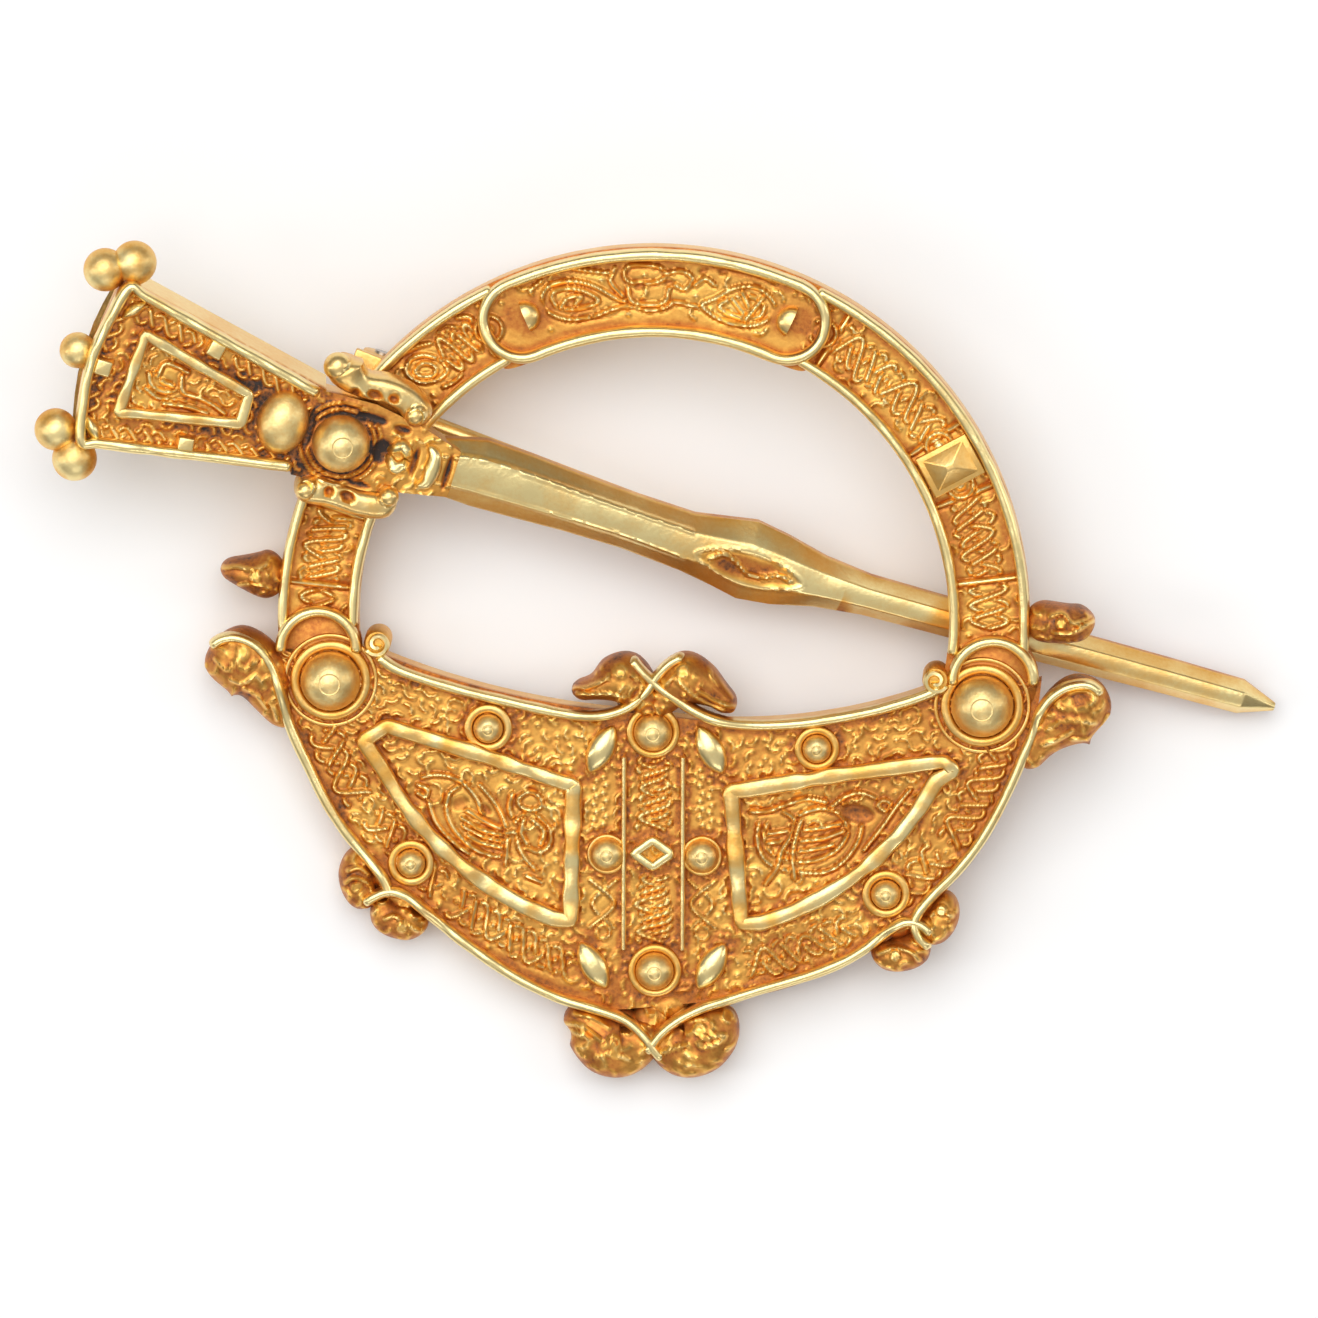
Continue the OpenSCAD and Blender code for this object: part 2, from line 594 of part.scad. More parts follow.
module stud(i) {
    s = STUDS[i];
    dome_r = s[3];
    color(pale_gold)
        at_rest()
            translate([s[1], s[2], s[5] + 0.02]) {
                intersection() {
                    translate([0, 0, 0.1])
                        sphere(r = dome_r);
                    cylinder(r = dome_r, h = 3);
                }
                translate([0, 0, dome_r + 0.02])
                    cylinder(r = dome_r * 0.3, h = 0.12);
                translate([0, 0, -stud_shank_l])
                    cylinder(r = stud_shank_r, h = stud_shank_l + 0.1);
            }
}

function shaft_ring(row) = let (u = row[0], v = row[1], w = row[2], t = w * shaft_top_share)
    [[u, v - w, 0], [u, v + w, 0], [u, v + w, row[4]], [u, v + t, row[3]],
        [u, v - t, row[3]], [u, v - w, row[4]]];

module shaft() {
    difference() {
        loft(concat([for (r = SHAFT) shaft_ring(r)],
            [shaft_ring([pin_reach, 0, pin_tip_w, pin_tip_h + 0.05, pin_tip_h])]));
        translate([lozenge_u, lozenge_v, shaft_h - lozenge_sunk])
            linear_extrude(1)
                polygon([[-lozenge_half.x, 0], [0, -lozenge_half.y], [lozenge_half.x, 0],
                    [0, lozenge_half.y]]);
    }
}

function head_outline() = let (n = 6)
    concat([HEAD_TL, HEAD_TR, HEAD_BR, HEAD_BL],
        [for (i = [1:n - 1]) let (t = i / n)
            HEAD_BL + (HEAD_TL - HEAD_BL) * t - [head_end_bulge * sin(180 * t), 0]]);

module pin_head() {
    linear_extrude(head_floor)
        polygon(head_outline());
    linear_extrude(1.2)
        offset(delta = 0.18)
            polygon(head_outline());
    linear_extrude(head_h)
        difference() {
            polygon(head_outline());
            offset(delta = -rim_w)
                polygon(head_outline());
        }
    translate([0, 0, head_floor - 0.1])
        linear_extrude(head_bar_h - head_floor + 0.1)
            difference() {
                polygon(HEAD_BARS);
                offset(delta = -head_bar_w)
                    polygon(HEAD_BARS);
            }
    for (s = HEAD_SQUARES)
        translate([s[0], s[1], head_floor - 0.1])
            rotate([0, 0, s[2]])
                translate([-head_square / 2, -head_square / 2, 0])
                    cube([head_square, head_square, head_bar_h - head_floor + 0.15]);
    for (v = HEAD_LEAVES)
        leaf([v[0], v[1]], v[2], head_leaf_l, 0.5, head_floor - 0.1, head_bar_h);
    for (k = HEAD_KNOBS)
        translate([k.x, k.y, knob_z])
            sphere(r = k[2], $fn = 40);
    translate([oval_at.x, oval_at.y, head_floor - 0.1])
        scale([oval_half.x, oval_half.y, oval_half.z])
            difference() {
                sphere(r = 1, $fn = 48);
                translate([-2, -2, -3])
                    cube([4, 4, 3]);
            }
}

module pin_neck() {
    linear_extrude(neck_h)
        polygon(NECK);
    bead(SCROLL_UP, 0.7);
    bead(SCROLL_DOWN, 0.7);
    translate([2.5, 0.1, neck_h - 0.1])
        linear_extrude(0.45)
            polygon(NECK_BOW);
    translate([3.75, 0.05, neck_h - 0.1])
        difference() {
            translate([-0.5, 0, 0])
                cylinder(r = 0.95, h = 0.45);
            translate([-0.85, 0, -1])
                cylinder(r = 0.95, h = 3);
        }
}

// Trough that the stem lies in, open away from the back
module catch_block() {
    in_stem_frame()
        rotate([0, stem_slope, 0])
            difference() {
                translate([catch_from, -catch_w / 2, -stem_d / 2 - catch_lip])
                    cube([catch_l, catch_w, stem_d / 2 + catch_lip + 0.85]);
                translate([catch_from - 1, 0, 0])
                    rotate([0, 90, 0])
                        cylinder(r = catch_slot_r, h = catch_l + 2);
                translate([catch_from - 1, -catch_slot_r, -3])
                    cube([catch_l + 2, 2 * catch_slot_r, 3]);
            }
}

module long_pin() {
    color(gold)
        at_rest()
            difference() {
                union() {
                    in_pin_frame() {
                        pin_head();
                        pin_neck();
                        shaft();
                    }
                    catch_block();
                }
                // Saddle that seats the neck on the ring
                arc_band(ring_inner_r - 0.08, ring_outer_r + 0.08, -1, ring_rim_h + 0.06, 138, 160);
                translate([seat_at.x, seat_at.y, -1])
                    cylinder(r = seat_r + gap, h = seat_h + gap + 1);
                in_pin_frame()
                    translate([0, 0, -2])
                        cylinder(r = neck_shank_r + gap, h = 8);
            }
}

module neck_rivet() {
    color(pale_gold)
        at_rest()
            in_pin_frame() {
                translate([0, 0, neck_h + 0.02])
                    intersection() {
                        translate([0, 0, 0.05])
                            sphere(r = neck_boss_r);
                        cylinder(r = neck_boss_r, h = 2);
                    }
                translate([0, 0, -1.1])
                    cylinder(r = neck_shank_r, h = neck_h + 1.3);
            }
}

module pin_stem() {
    color(gold)
        at_rest()
            in_stem_frame()
                difference() {
                    union() {
                        translate([0, -barrel_l / 2, 0])
                            rotate([-90, 0, 0])
                                cylinder(r = knuckle_r - 0.05, h = barrel_l);
                        rotate([0, stem_slope, 0]) {
                            rotate([0, 90, 0])
                                cylinder(d = stem_d, h = stem_reach - stem_point_l);
                            translate([stem_reach - stem_point_l, 0, 0])
                                rotate([0, 90, 0])
                                    cylinder(d1 = stem_d, d2 = 0.16, h = stem_point_l);
                        }
                    }
                    translate([0, -barrel_l, 0])
                        rotate([-90, 0, 0])
                            cylinder(r = hinge_rivet_r + gap, h = 2 * barrel_l);
                }
}

module hinge_rivet() {
    color(steel)
        at_rest()
            in_stem_frame()
                translate([0, -hinge_len / 2 - 0.1, 0])
                    rotate([-90, 0, 0])
                        cylinder(r = hinge_rivet_r, h = hinge_len + 0.2);
}

frame_node();  // frame
long_pin();
neck_rivet();
for (i = [0:len(STUDS) - 1])
    stud(i);
pin_stem();
hinge_rivet();
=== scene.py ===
"""Closed ring brooch in cast gold: dressed pieces over the CAD frame, with a plain studio."""

import math

import bmesh
import bpy
import numpy as np
from bpy.props import FloatProperty, FloatVectorProperty, IntProperty, PointerProperty
from mathutils import Matrix, Vector


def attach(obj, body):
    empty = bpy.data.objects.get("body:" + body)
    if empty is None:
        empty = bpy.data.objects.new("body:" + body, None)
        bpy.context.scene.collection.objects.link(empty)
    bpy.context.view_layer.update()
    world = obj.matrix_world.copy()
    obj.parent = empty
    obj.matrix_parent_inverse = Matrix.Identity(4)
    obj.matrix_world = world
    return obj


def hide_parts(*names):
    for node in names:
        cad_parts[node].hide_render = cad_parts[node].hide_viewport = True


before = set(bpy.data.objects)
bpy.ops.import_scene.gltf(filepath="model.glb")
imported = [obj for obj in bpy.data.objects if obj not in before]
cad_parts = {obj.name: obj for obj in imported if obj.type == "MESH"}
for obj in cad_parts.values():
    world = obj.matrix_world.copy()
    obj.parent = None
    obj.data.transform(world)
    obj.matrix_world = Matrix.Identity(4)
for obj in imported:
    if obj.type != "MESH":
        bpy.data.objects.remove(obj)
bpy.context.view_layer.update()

bl_info = {
    "name": "Penannular brooch",
    "version": (1, 0, 0),
    "blender": (4, 5, 0),
    "location": "View3D > Sidebar > Brooch",
    "description": "Builds the cast, chased and patinated pieces of a large ring brooch",
    "category": "Object",
}

# Millimetres to metres
MM = 0.001
# The brooch's own frame: origin at the ring's centre on the flat back, Z out of the face
REST = (
    Matrix.Translation((-0.065, 1.763, 2.103))
    @ Matrix.Rotation(math.radians(-3.948), 4, "Y")
    @ Matrix.Rotation(math.radians(5.98), 4, "X")
)
# The ornamental pin: X along it, Z off its back
PIN = REST @ (
    Matrix.Translation((-13.1, 7.72, 1.6))
    @ Matrix.Rotation(math.radians(-16.8), 4, "Z")
    @ Matrix.Rotation(math.radians(6.1), 4, "Y")
)
# The fastening stem: X along it, Y along the hinge
STEM = REST @ Matrix.Translation((-12.1, 8.8, -1.15)) @ Matrix.Rotation(math.radians(-20.8), 4, "Z")
CATCH = STEM @ Matrix.Rotation(math.radians(2.0), 4, "Y")

# Heights above the flat back
RING_GROUND = 1.3
PLATE_GROUND = 1.45
RING_RIM_TOP = 1.8
PLATE_RIM_TOP = 2.0
LUG_RIDGE_TOP = 2.28
BAR_TOP = 1.95
HEAD_GROUND = 2.0
HEAD_RIM_TOP = 2.6

RING_OUTER = 15.6
RING_INNER = 12.25
CARTOUCHE_INNER = 11.9
CARTOUCHE_HALF = 23.6

LEFT_TERMINAL = (-13.9, -1.25, 1.8)
RIGHT_TERMINAL = (14.1, -2.4, 1.9)
# Arcs of the plate's edges: centre x, centre y, radius
LOWER_LEFT = (3.08, 2.55, 19.56)
LOWER_RIGHT = (1.16, -1.07, 15.0)
UPPER_LEFT = (1.37, 29.65, 33.6)
UPPER_RIGHT = (3.45, 18.52, 22.73)

# Studs: node, x, y, dome radius, collar radius
STUDS = (("stud_big_left", -13.4, -2.6, 1.25, 1.6), ("stud_big_right", 13.65, -3.45, 1.3, 1.65),
         ("stud_top", 0, -4.65, 0.8, 1.08), ("stud_bottom", 0.1, -14.7, 0.8, 1.08),
         ("stud_inner_left", -1.9, -9.8, 0.7, 0.85), ("stud_inner_right", 2.05, -9.85, 0.7, 0.85),
         ("stud_upper_left", -6.85, -4.55, 0.62, 0.95), ("stud_upper_right", 6.8, -5.3, 0.6, 0.9),
         ("stud_lower_left", -10.05, -10.25, 0.6, 0.92), ("stud_lower_right", 9.7, -11.4, 0.62, 0.95))

# Beast-head lugs as beads along a spine: x, y, half width, height
LUGS = (
    ((0.1, -4, 0.4, 1.9), (-0.5, -3.15, 0.8, 2.2), (-1.1, -2.5, 1.1, 2.5), (-1.75, -2.55, 0.95, 2.4),
     (-2.4, -2.85, 0.55, 2.15), (-3, -2.98, 0.42, 2), (-3.4, -3, 0.3, 1.7)),
    ((0.05, -4, 0.4, 1.9), (0.6, -3.1, 0.8, 2.2), (1.3, -2.45, 1.1, 2.5), (2, -2.7, 0.9, 2.4),
     (2.65, -3.15, 0.6, 2.15), (3.05, -3.5, 0.48, 2), (3.35, -3.8, 0.35, 1.7)),
    ((0.1, -16.95, 0.8, 1.9), (-0.95, -18, 1.1, 2.25), (-1.85, -17.88, 1.32, 2.4),
     (-2.75, -17.2, 1.05, 2.2), (-3.3, -16.8, 0.65, 1.9), (-3.7, -16.9, 0.35, 1.6)),
    ((0.1, -16.95, 0.8, 1.9), (1.05, -18, 1.12, 2.25), (1.95, -17.8, 1.32, 2.4), (2.8, -17, 1.1, 2.2),
     (3.35, -16.45, 0.75, 1.9)),
    ((-12.3, -9.7, 0.45, 1.7), (-12.3, -10.75, 0.8, 2.05), (-12, -11.6, 0.75, 2),
     (-11.3, -11.7, 0.45, 1.8)),
    ((-11.4, -11.7, 0.45, 1.8), (-11.05, -12.5, 0.75, 2.05), (-10.2, -12.8, 0.78, 2.05),
     (-9.35, -12.9, 0.5, 1.7)),
    ((10.9, -12.45, 0.4, 1.8), (11.6, -12.85, 0.75, 2.05), (12.05, -12.3, 0.72, 2.05),
     (12.25, -11.4, 0.45, 1.7)),
    ((11.15, -13, 0.45, 1.8), (10.85, -13.75, 0.75, 2.05), (9.95, -14, 0.72, 2.05),
     (9.1, -13.75, 0.5, 1.7)),
    ((-15.2, -4.6, 0.45, 1.7), (-15.8, -3.5, 0.85, 2), (-16.3, -2.5, 1.25, 2.2), (-17.2, -1.9, 1.5, 2.4),
     (-17.95, -1.95, 1.2, 2.2), (-18.65, -2.05, 0.75, 1.7)),
    ((15.4, -6.1, 0.45, 1.7), (16.1, -5, 0.75, 2), (16.9, -4.15, 1.2, 2.2), (17.7, -3.66, 1.5, 2.4),
     (18.35, -3.62, 1.35, 2.2), (18.97, -3.78, 0.8, 1.7)),
    ((-15.3, 1.85, 1.2, 1.7), (-16.2, 1.75, 0.98, 2.1), (-17, 1.85, 0.7, 2), (-17.6, 1.95, 0.48, 1.8),
     (-18, 2, 0.35, 1.5)),
    ((15.4, 0.1, 0.85, 1.7), (16.4, 0, 0.85, 2.1), (17.2, -0.05, 0.8, 2.2), (17.9, 0, 0.72, 2),
     (18.3, 0.05, 0.5, 1.6)),
)

# Corners of the pin's head, in the pin's frame
HEAD_TL, HEAD_TR = (-10.5, 4.02), (-1.2, 1.95)
HEAD_BR, HEAD_BL = (-1.4, -1.7), (-10.55, -3.12)
HEAD_BULGE = 0.6
# Long rims of the plate: how many points lie on a lug at the start and the end, then x, y
RIM_LINES = (
    ((6, 3), ((-18.4, -1.2), (-17.9, -0.85), (-17.2, -0.8), (-16.4, -1.2), (-15.85, -2), (-15.5, -3),
     (-15.22, -4.1), (-14.86, -5.03), (-14.31, -6.2), (-13.65, -7.55), (-12.87, -8.8), (-12.06, -9.8),
     (-11.42, -10.54), (-11.08, -11.1), (-10.9, -11.7))),
    ((5, 5), ((-12.05, -11.95), (-11.55, -11.6), (-10.9, -11.4), (-10.15, -11.65), (-9.4, -12.25),
     (-8.7, -12.85), (-7.92, -13.48), (-7.13, -14.05), (-6.3, -14.62), (-5.5, -15.1), (-4.6, -15.55),
     (-3.7, -15.93), (-2.3, -16.3), (-1.1, -16.75), (-0.35, -17.4), (0.1, -18), (0.5, -18.4))),
    ((0, 6), ((-11.5, -1.5), (-10.75, -2.03), (-9.68, -2.44), (-8.08, -2.92), (-6.33, -3.34), (-4.73, -3.7),
     (-3.3, -3.95), (-2.1, -3.92), (-1.1, -3.6), (-0.35, -3), (0.1, -2.35), (0.65, -1.75), (1.3, -1.4))),
    ((5, 4), ((18.65, -2.9), (18.05, -2.5), (17.2, -2.6), (16.5, -3.05), (16.05, -3.7), (15.8, -4.5),
     (15.42, -5.4), (14.89, -6.67), (14.25, -8), (13.5, -9.28), (12.58, -10.45), (11.7, -11.35),
     (11.12, -12), (10.9, -12.6), (11.1, -13.2), (11.6, -13.6))),
    ((4, 5), ((11.65, -13.05), (11.2, -12.65), (10.6, -12.5), (10.1, -12.7), (9.5, -13.15), (8.85, -13.68),
     (7.95, -14.22), (6.84, -14.7), (5.56, -15.12), (4.28, -15.5), (3.17, -15.88), (2.05, -16.22),
     (1.1, -16.7), (0.42, -17.25), (0.05, -17.7), (-0.3, -18.15))),
    ((0, 6), ((12, -2.65), (11.3, -3), (10.34, -3.34), (9.07, -3.7), (7.47, -4.03), (5.88, -4.25),
     (4.28, -4.33), (2.9, -4.17), (1.9, -3.8), (0.93, -3.2), (0.1, -2.6), (-0.5, -2.05), (-0.95, -1.5))),
)
# Small beads in the forks between lugs: x, y, half width, turn
LUG_FILLERS = ((-12, -10.85, 0.7, -50), (11.7, -12.25, 0.7, 50), (0, -16.8, 0.8, 0),
               (-10.4, -11.8, 0.7, -20), (10.2, -12.75, 0.7, 20), (-1.2, -16.9, 0.6, -20),
               (1.2, -16.7, 0.6, 20), (0.7, -16.25, 0.7, 0), (-11.25, -11, 0.55, -45))
# Leaf-shaped bosses beside the middle strip, and such leaves on the pin's head: x, y, turn
LEAF_BOSSES = ((-2.15, -5.4, 62), (2.4, -5.4, -62), (-2.45, -14.5, -60), (2.45, -14.5, 60))
HEAD_LEAVES = ((-9.8, 2.95, 50), (-10.0, -2.3, -50))
# On the pin's head: corners of the inner frame, square bosses (x, y, turn), knobs (x, y, radius)
HEAD_BARS = ((-9.3, 2.35), (-4.0, 1.15), (-4.0, -0.6), (-9.45, -1.55))
HEAD_SQUARES = ((-6.1, 2.32, -12), (-10.35, 0.3, 0), (-6.15, -1.85, 8))
HEAD_KNOBS = ((-11.38, 4.12, 0.9), (-10.3, 4.74, 0.92), (-11.5, 0.58, 0.75), (-11.42, -2.85, 0.88),
              (-10.32, -3.8, 0.93))
# Scrolls, bow and crescent on the neck as beads: x, y, half width, height
SCROLL_UP = ((-0.95, 3.5, 0.4, 2.4), (-0.7, 3, 0.68, 2.75), (0.2, 2.6, 0.5, 2.5), (1.2, 2.65, 0.52, 2.5),
             (2.1, 2.5, 0.55, 2.5), (2.7, 2.05, 0.55, 2.5), (2.75, 1.5, 0.45, 2.3))
SCROLL_DOWN = ((-1.2, -1.9, 0.4, 2.3), (-0.75, -2.2, 0.55, 2.5), (0.3, -2.15, 0.5, 2.4),
               (1.4, -2.2, 0.5, 2.4), (2.35, -2.05, 0.52, 2.4), (2.85, -1.5, 0.42, 2.2))
BOW = ((1.95, 0.2, 0.14, 2.3), (2.4, 0.62, 0.32, 2.6), (2.75, 0.42, 0.28, 2.62), (3.0, 0.24, 0.14, 2.3))
LOW_BOW = tuple((u, 0.3 - v, wide, top) for u, v, wide, top in BOW)
CRESCENT = ((3.5, 0.95, 0.14, 2.35), (3.85, 0.65, 0.3, 2.5), (3.95, 0.05, 0.4, 2.55),
            (3.85, -0.6, 0.3, 2.5), (3.5, -0.88, 0.14, 2.35))
# Round balls in the scrolls: x, y, radius, height
SCROLL_BALLS = ((-1.05, 3.05, 0.6, 2.2), (2.6, 2, 0.42, 2.3), (2.55, -1.58, 0.42, 2.25),
                (-0.84, -2.3, 0.42, 2.25))
OVAL_BOSS = (-2.55, 0.15)
NECK_BOSS_RADIUS = 1.2
# Shaft sections: along the pin, middle, half width, height of its top, height of its sides
SHAFT = ((4.2, 0.05, 1.15, 1.6, 0.9), (6, 0.2, 1.42, 1.5, 0.8), (8, 0.17, 1.36, 1.47, 0.78),
         (10, 0.1, 1.24, 1.45, 0.75), (12.5, 0, 1.16, 1.42, 0.72), (15.2, -0.16, 1.22, 1.4, 0.7),
         (16.6, -0.16, 1.45, 1.38, 0.7), (17.8, -0.18, 1.67, 1.35, 0.7), (19.2, -0.22, 1.48, 1.35, 0.7),
         (21, -0.22, 1.06, 1.35, 0.7), (23, -0.22, 0.84, 1.35, 0.67), (26, -0.18, 0.8, 1.35, 0.65),
         (31, -0.1, 0.79, 1.3, 0.6), (36, 0, 0.74, 1.24, 0.55), (39.3, 0.03, 0.7, 1.2, 0.5),
         (40.8, 0, 0.15, 0.4, 0.35))

# Middle strip: its two uprights and its lozenge
UPRIGHTS = (-1.2, 1.25)
UPRIGHT_ENDS = (-5.6, -13.9)
LOZENGE = (0, -9.75)
# Middle of the ring's chased band, its square boss, and the half-round bosses with their flat side
BAND_MIDDLE = 13.93
SQUARE_BOSS_ANGLE = 28.2
HALF_BOSS_RADIUS = 13.75
HALF_BOSSES = ((113.0, -1), (65.6, 1))
# Curls where the plate's upper rims start: x, y, sense of turning
CURLS = ((-11.45, -0.98, 1), (11.72, -2.35, -1))
# Braids in the plate's borders: circle, start, end, distance in from the edge
BORDER_BRAIDS = ((LOWER_LEFT, 203.5, 213.5, 1.25), (LOWER_LEFT, 216.5, 229, 1.35),
                 (LOWER_LEFT, 232, 249, 1.3), (LOWER_RIGHT, -17, -36, 1.25), (LOWER_RIGHT, -59, -78, 1.35),
                 (LOWER_RIGHT, -39, -49, 1.2))
# Braids in the ring's panels: start, end, waves, strands
RING_BRAIDS = ((161.5, 173.5, 4, 3), (34.5, 46, 3, 3), (46.5, 57, 3, 3), (8, 21.5, 4, 3),
               (121.5, 128.5, 3, 2), (175, 181, 2, 2), (-1, 7, 3, 2))
RING_UPRIGHTS = (174.2, 160.8, 57.8, 33.4, 22.4, 7.3)
RING_CIRCLES = (60.0, 119.5, 24.5, 32.0)
# Braids on the pin's head: start, end, swing, waves
HEAD_BRAIDS = (
    ((-9.7, 2.9), (-7, 2.35), 0.34, 4), ((-5.2, 2.15), (-1.9, 1.35), 0.3, 5),
    ((-9.7, -2.35), (-7, -1.95), 0.3, 4), ((-5.3, -1.65), (-1.9, -1.2), 0.26, 5),
    ((-10.3, 3), (-10.4, 1), 0.3, 3), ((-10.5, -0.4), (-10.3, -2.2), 0.3, 3),
)
# Sunk ovals on the face and on the pin: x, y, long and short radius, turn, depth
FACE_PITS = ((8.5, -8.05, 0.75, 0.42, -10, 0.16), (-8, -7.75, 0.4, 0.32, 20, 0.1),
             (-6.9, -8, 0.3, 0.16, -50, 0.1), (-0.64, 13.95, 0.24, 0.15, 20, 0.12),
             (0.6, 14.1, 0.24, 0.15, 20, 0.12), (2, 14.6, 0.24, 0.15, 20, 0.12),
             (2.85, 14.6, 0.24, 0.15, 20, 0.12))
NECK_PITS = ((-0.05, 2.2, 0.2, 0.22, -8, 0.28), (0.75, 2.36, 0.36, 0.22, -8, 0.28),
             (1.55, 2.44, 0.24, 0.22, -8, 0.28), (0.9, -2.04, 0.36, 0.22, -8, 0.28),
             (0.1, -2.05, 0.22, 0.22, -8, 0.28), (1.75, 0.15, 0.42, 0.62, 0, 0.14),
             (-1.42, 0.15, 0.22, 0.9, 0, 0.14), (1, 1.35, 0.7, 0.24, 0, 0.14),
             (2.3, 1.25, 0.4, 0.2, 0, 0.14), (3.15, 0.1, 0.16, 0.7, 0, 0.14),
             (4.6, 0.05, 0.14, 0.85, 0, 0.14), (1.2, -1.45, 0.6, 0.16, 0, 0.14))
# Volutes on the neck: x, y, radius, height as a share of the relief
VOLUTES = ((2.65, 2, 0.34, 1.4), (2.5, -1.55, 0.32, 1.4), (-0.98, 3.3, 0.26, 1.3), (-0.84, -2.1, 0.28, 1.3))
# Rows of quads over the top, one edge and the back of each slab
PLATE_ROWS, RING_ROWS, HEAD_ROWS, NECK_ROWS = (148, 3, 10), (50, 3, 6), (96, 5, 8), (40, 4, 6)

# Chased strands on the plate's left panel
LEFT_BEAST = (
    ((-9.57, -6.63), (-9.04, -6.54), (-8.37, -6.63), (-7.71, -7.03), (-7.24, -7.7), (-7.11, -8.36),
     (-7.37, -8.56)),
    ((-8.11, -7.03), (-8.44, -7.3), (-8.57, -7.83), (-8.44, -8.5), (-7.97, -9.16), (-7.31, -9.7),
     (-6.51, -9.96), (-6.04, -9.83)),
    ((-7.91, -8.36), (-7.31, -8.76), (-6.64, -8.96), (-6.11, -9.03)),
    ((-7.84, -7.96), (-7.17, -8.36), (-6.51, -8.7), (-6.04, -8.79)),
    ((-7.84, -8.7), (-7.31, -9.06), (-6.64, -9.26), (-6.08, -9.32)),
    ((-7.64, -9.1), (-7.04, -9.4), (-6.17, -9.59)),
    ((-7.17, -6.96), (-6.57, -7.7), (-6.17, -8.5), (-6.04, -9.3), (-6.11, -10.3)),
    ((-5.84, -7.3), (-5.97, -7.83), (-5.77, -8.36), (-5.33, -8.23)),
    ((-5.71, -8.5), (-5.17, -8.1), (-4.64, -8.36), (-4.24, -8.9), (-4.31, -9.5), (-4.77, -9.76),
     (-5.24, -9.56)),
    ((-6.08, -8.96), (-5.64, -8.96), (-5.57, -9.56), (-5.24, -10.1), (-4.84, -10.5)),
    ((-5.37, -8.43), (-5.47, -8.9), (-5.24, -9.4)), ((-5.01, -8.39), (-4.53, -8.87), (-4.67, -9.4)),
    ((-5.57, -7.5), (-5.17, -7.23), (-4.71, -7.43), (-4.64, -7.83), (-5.04, -7.99), (-5.51, -7.83),
     (-5.57, -7.5)),
    ((-9.77, -6.96), (-9.37, -7.14), (-9.44, -7.5), (-9.77, -7.32)), ((-5.24, -10.76), (-4.64, -11.03)),
    ((-9.31, -7.7), (-9.04, -8.5), (-8.37, -9.3), (-7.71, -9.83)),
)
# Chased strands on the plate's right panel
RIGHT_BEAST = (
    ((4.39, -8.5), (4.33, -9.16), (4.53, -9.83), (5.06, -10.3), (6.13, -10.52), (7.19, -10.5),
     (7.99, -9.99), (8.53, -9.16), (8.66, -8.36), (8.33, -7.76), (7.73, -7.59)),
    ((4.73, -8.5), (4.69, -9.3), (5.19, -9.86), (6.39, -10.07), (7.46, -9.7), (8.02, -9.03), (7.99, -8.36),
     (7.59, -7.96), (6.93, -7.83), (6.13, -8.1), (5.66, -8.63)),
    ((4.82, -8.9), (5.86, -8.76), (6.93, -8.66), (7.75, -8.47)),
    ((4.79, -9.3), (5.86, -9.22), (7.06, -9.08), (7.89, -8.79)),
    ((5.19, -9.67), (6.39, -9.6), (7.46, -9.35)),
    ((5.33, -7.9), (5.89, -8.36), (5.73, -9.03), (5.35, -9.63), (5.19, -10.3), (4.69, -11.03)),
    ((6.15, -8.36), (5.95, -9.03), (5.81, -9.83), (5.89, -10.79)),
    ((7.46, -7.72), (7.99, -7.32), (8.66, -7.16), (9.33, -7.43), (9.89, -7.86)),
    ((9.35, -7.7), (9.59, -7.46), (9.89, -7.64), (9.73, -7.94), (9.35, -7.7)),
    ((4.06, -7.99), (4.79, -7.96), (5.46, -7.7), (6.39, -7.43), (7.19, -7.56)),
    ((10.66, -7.03), (10.13, -7.7), (9.59, -8.5), (8.79, -9.56)),
)
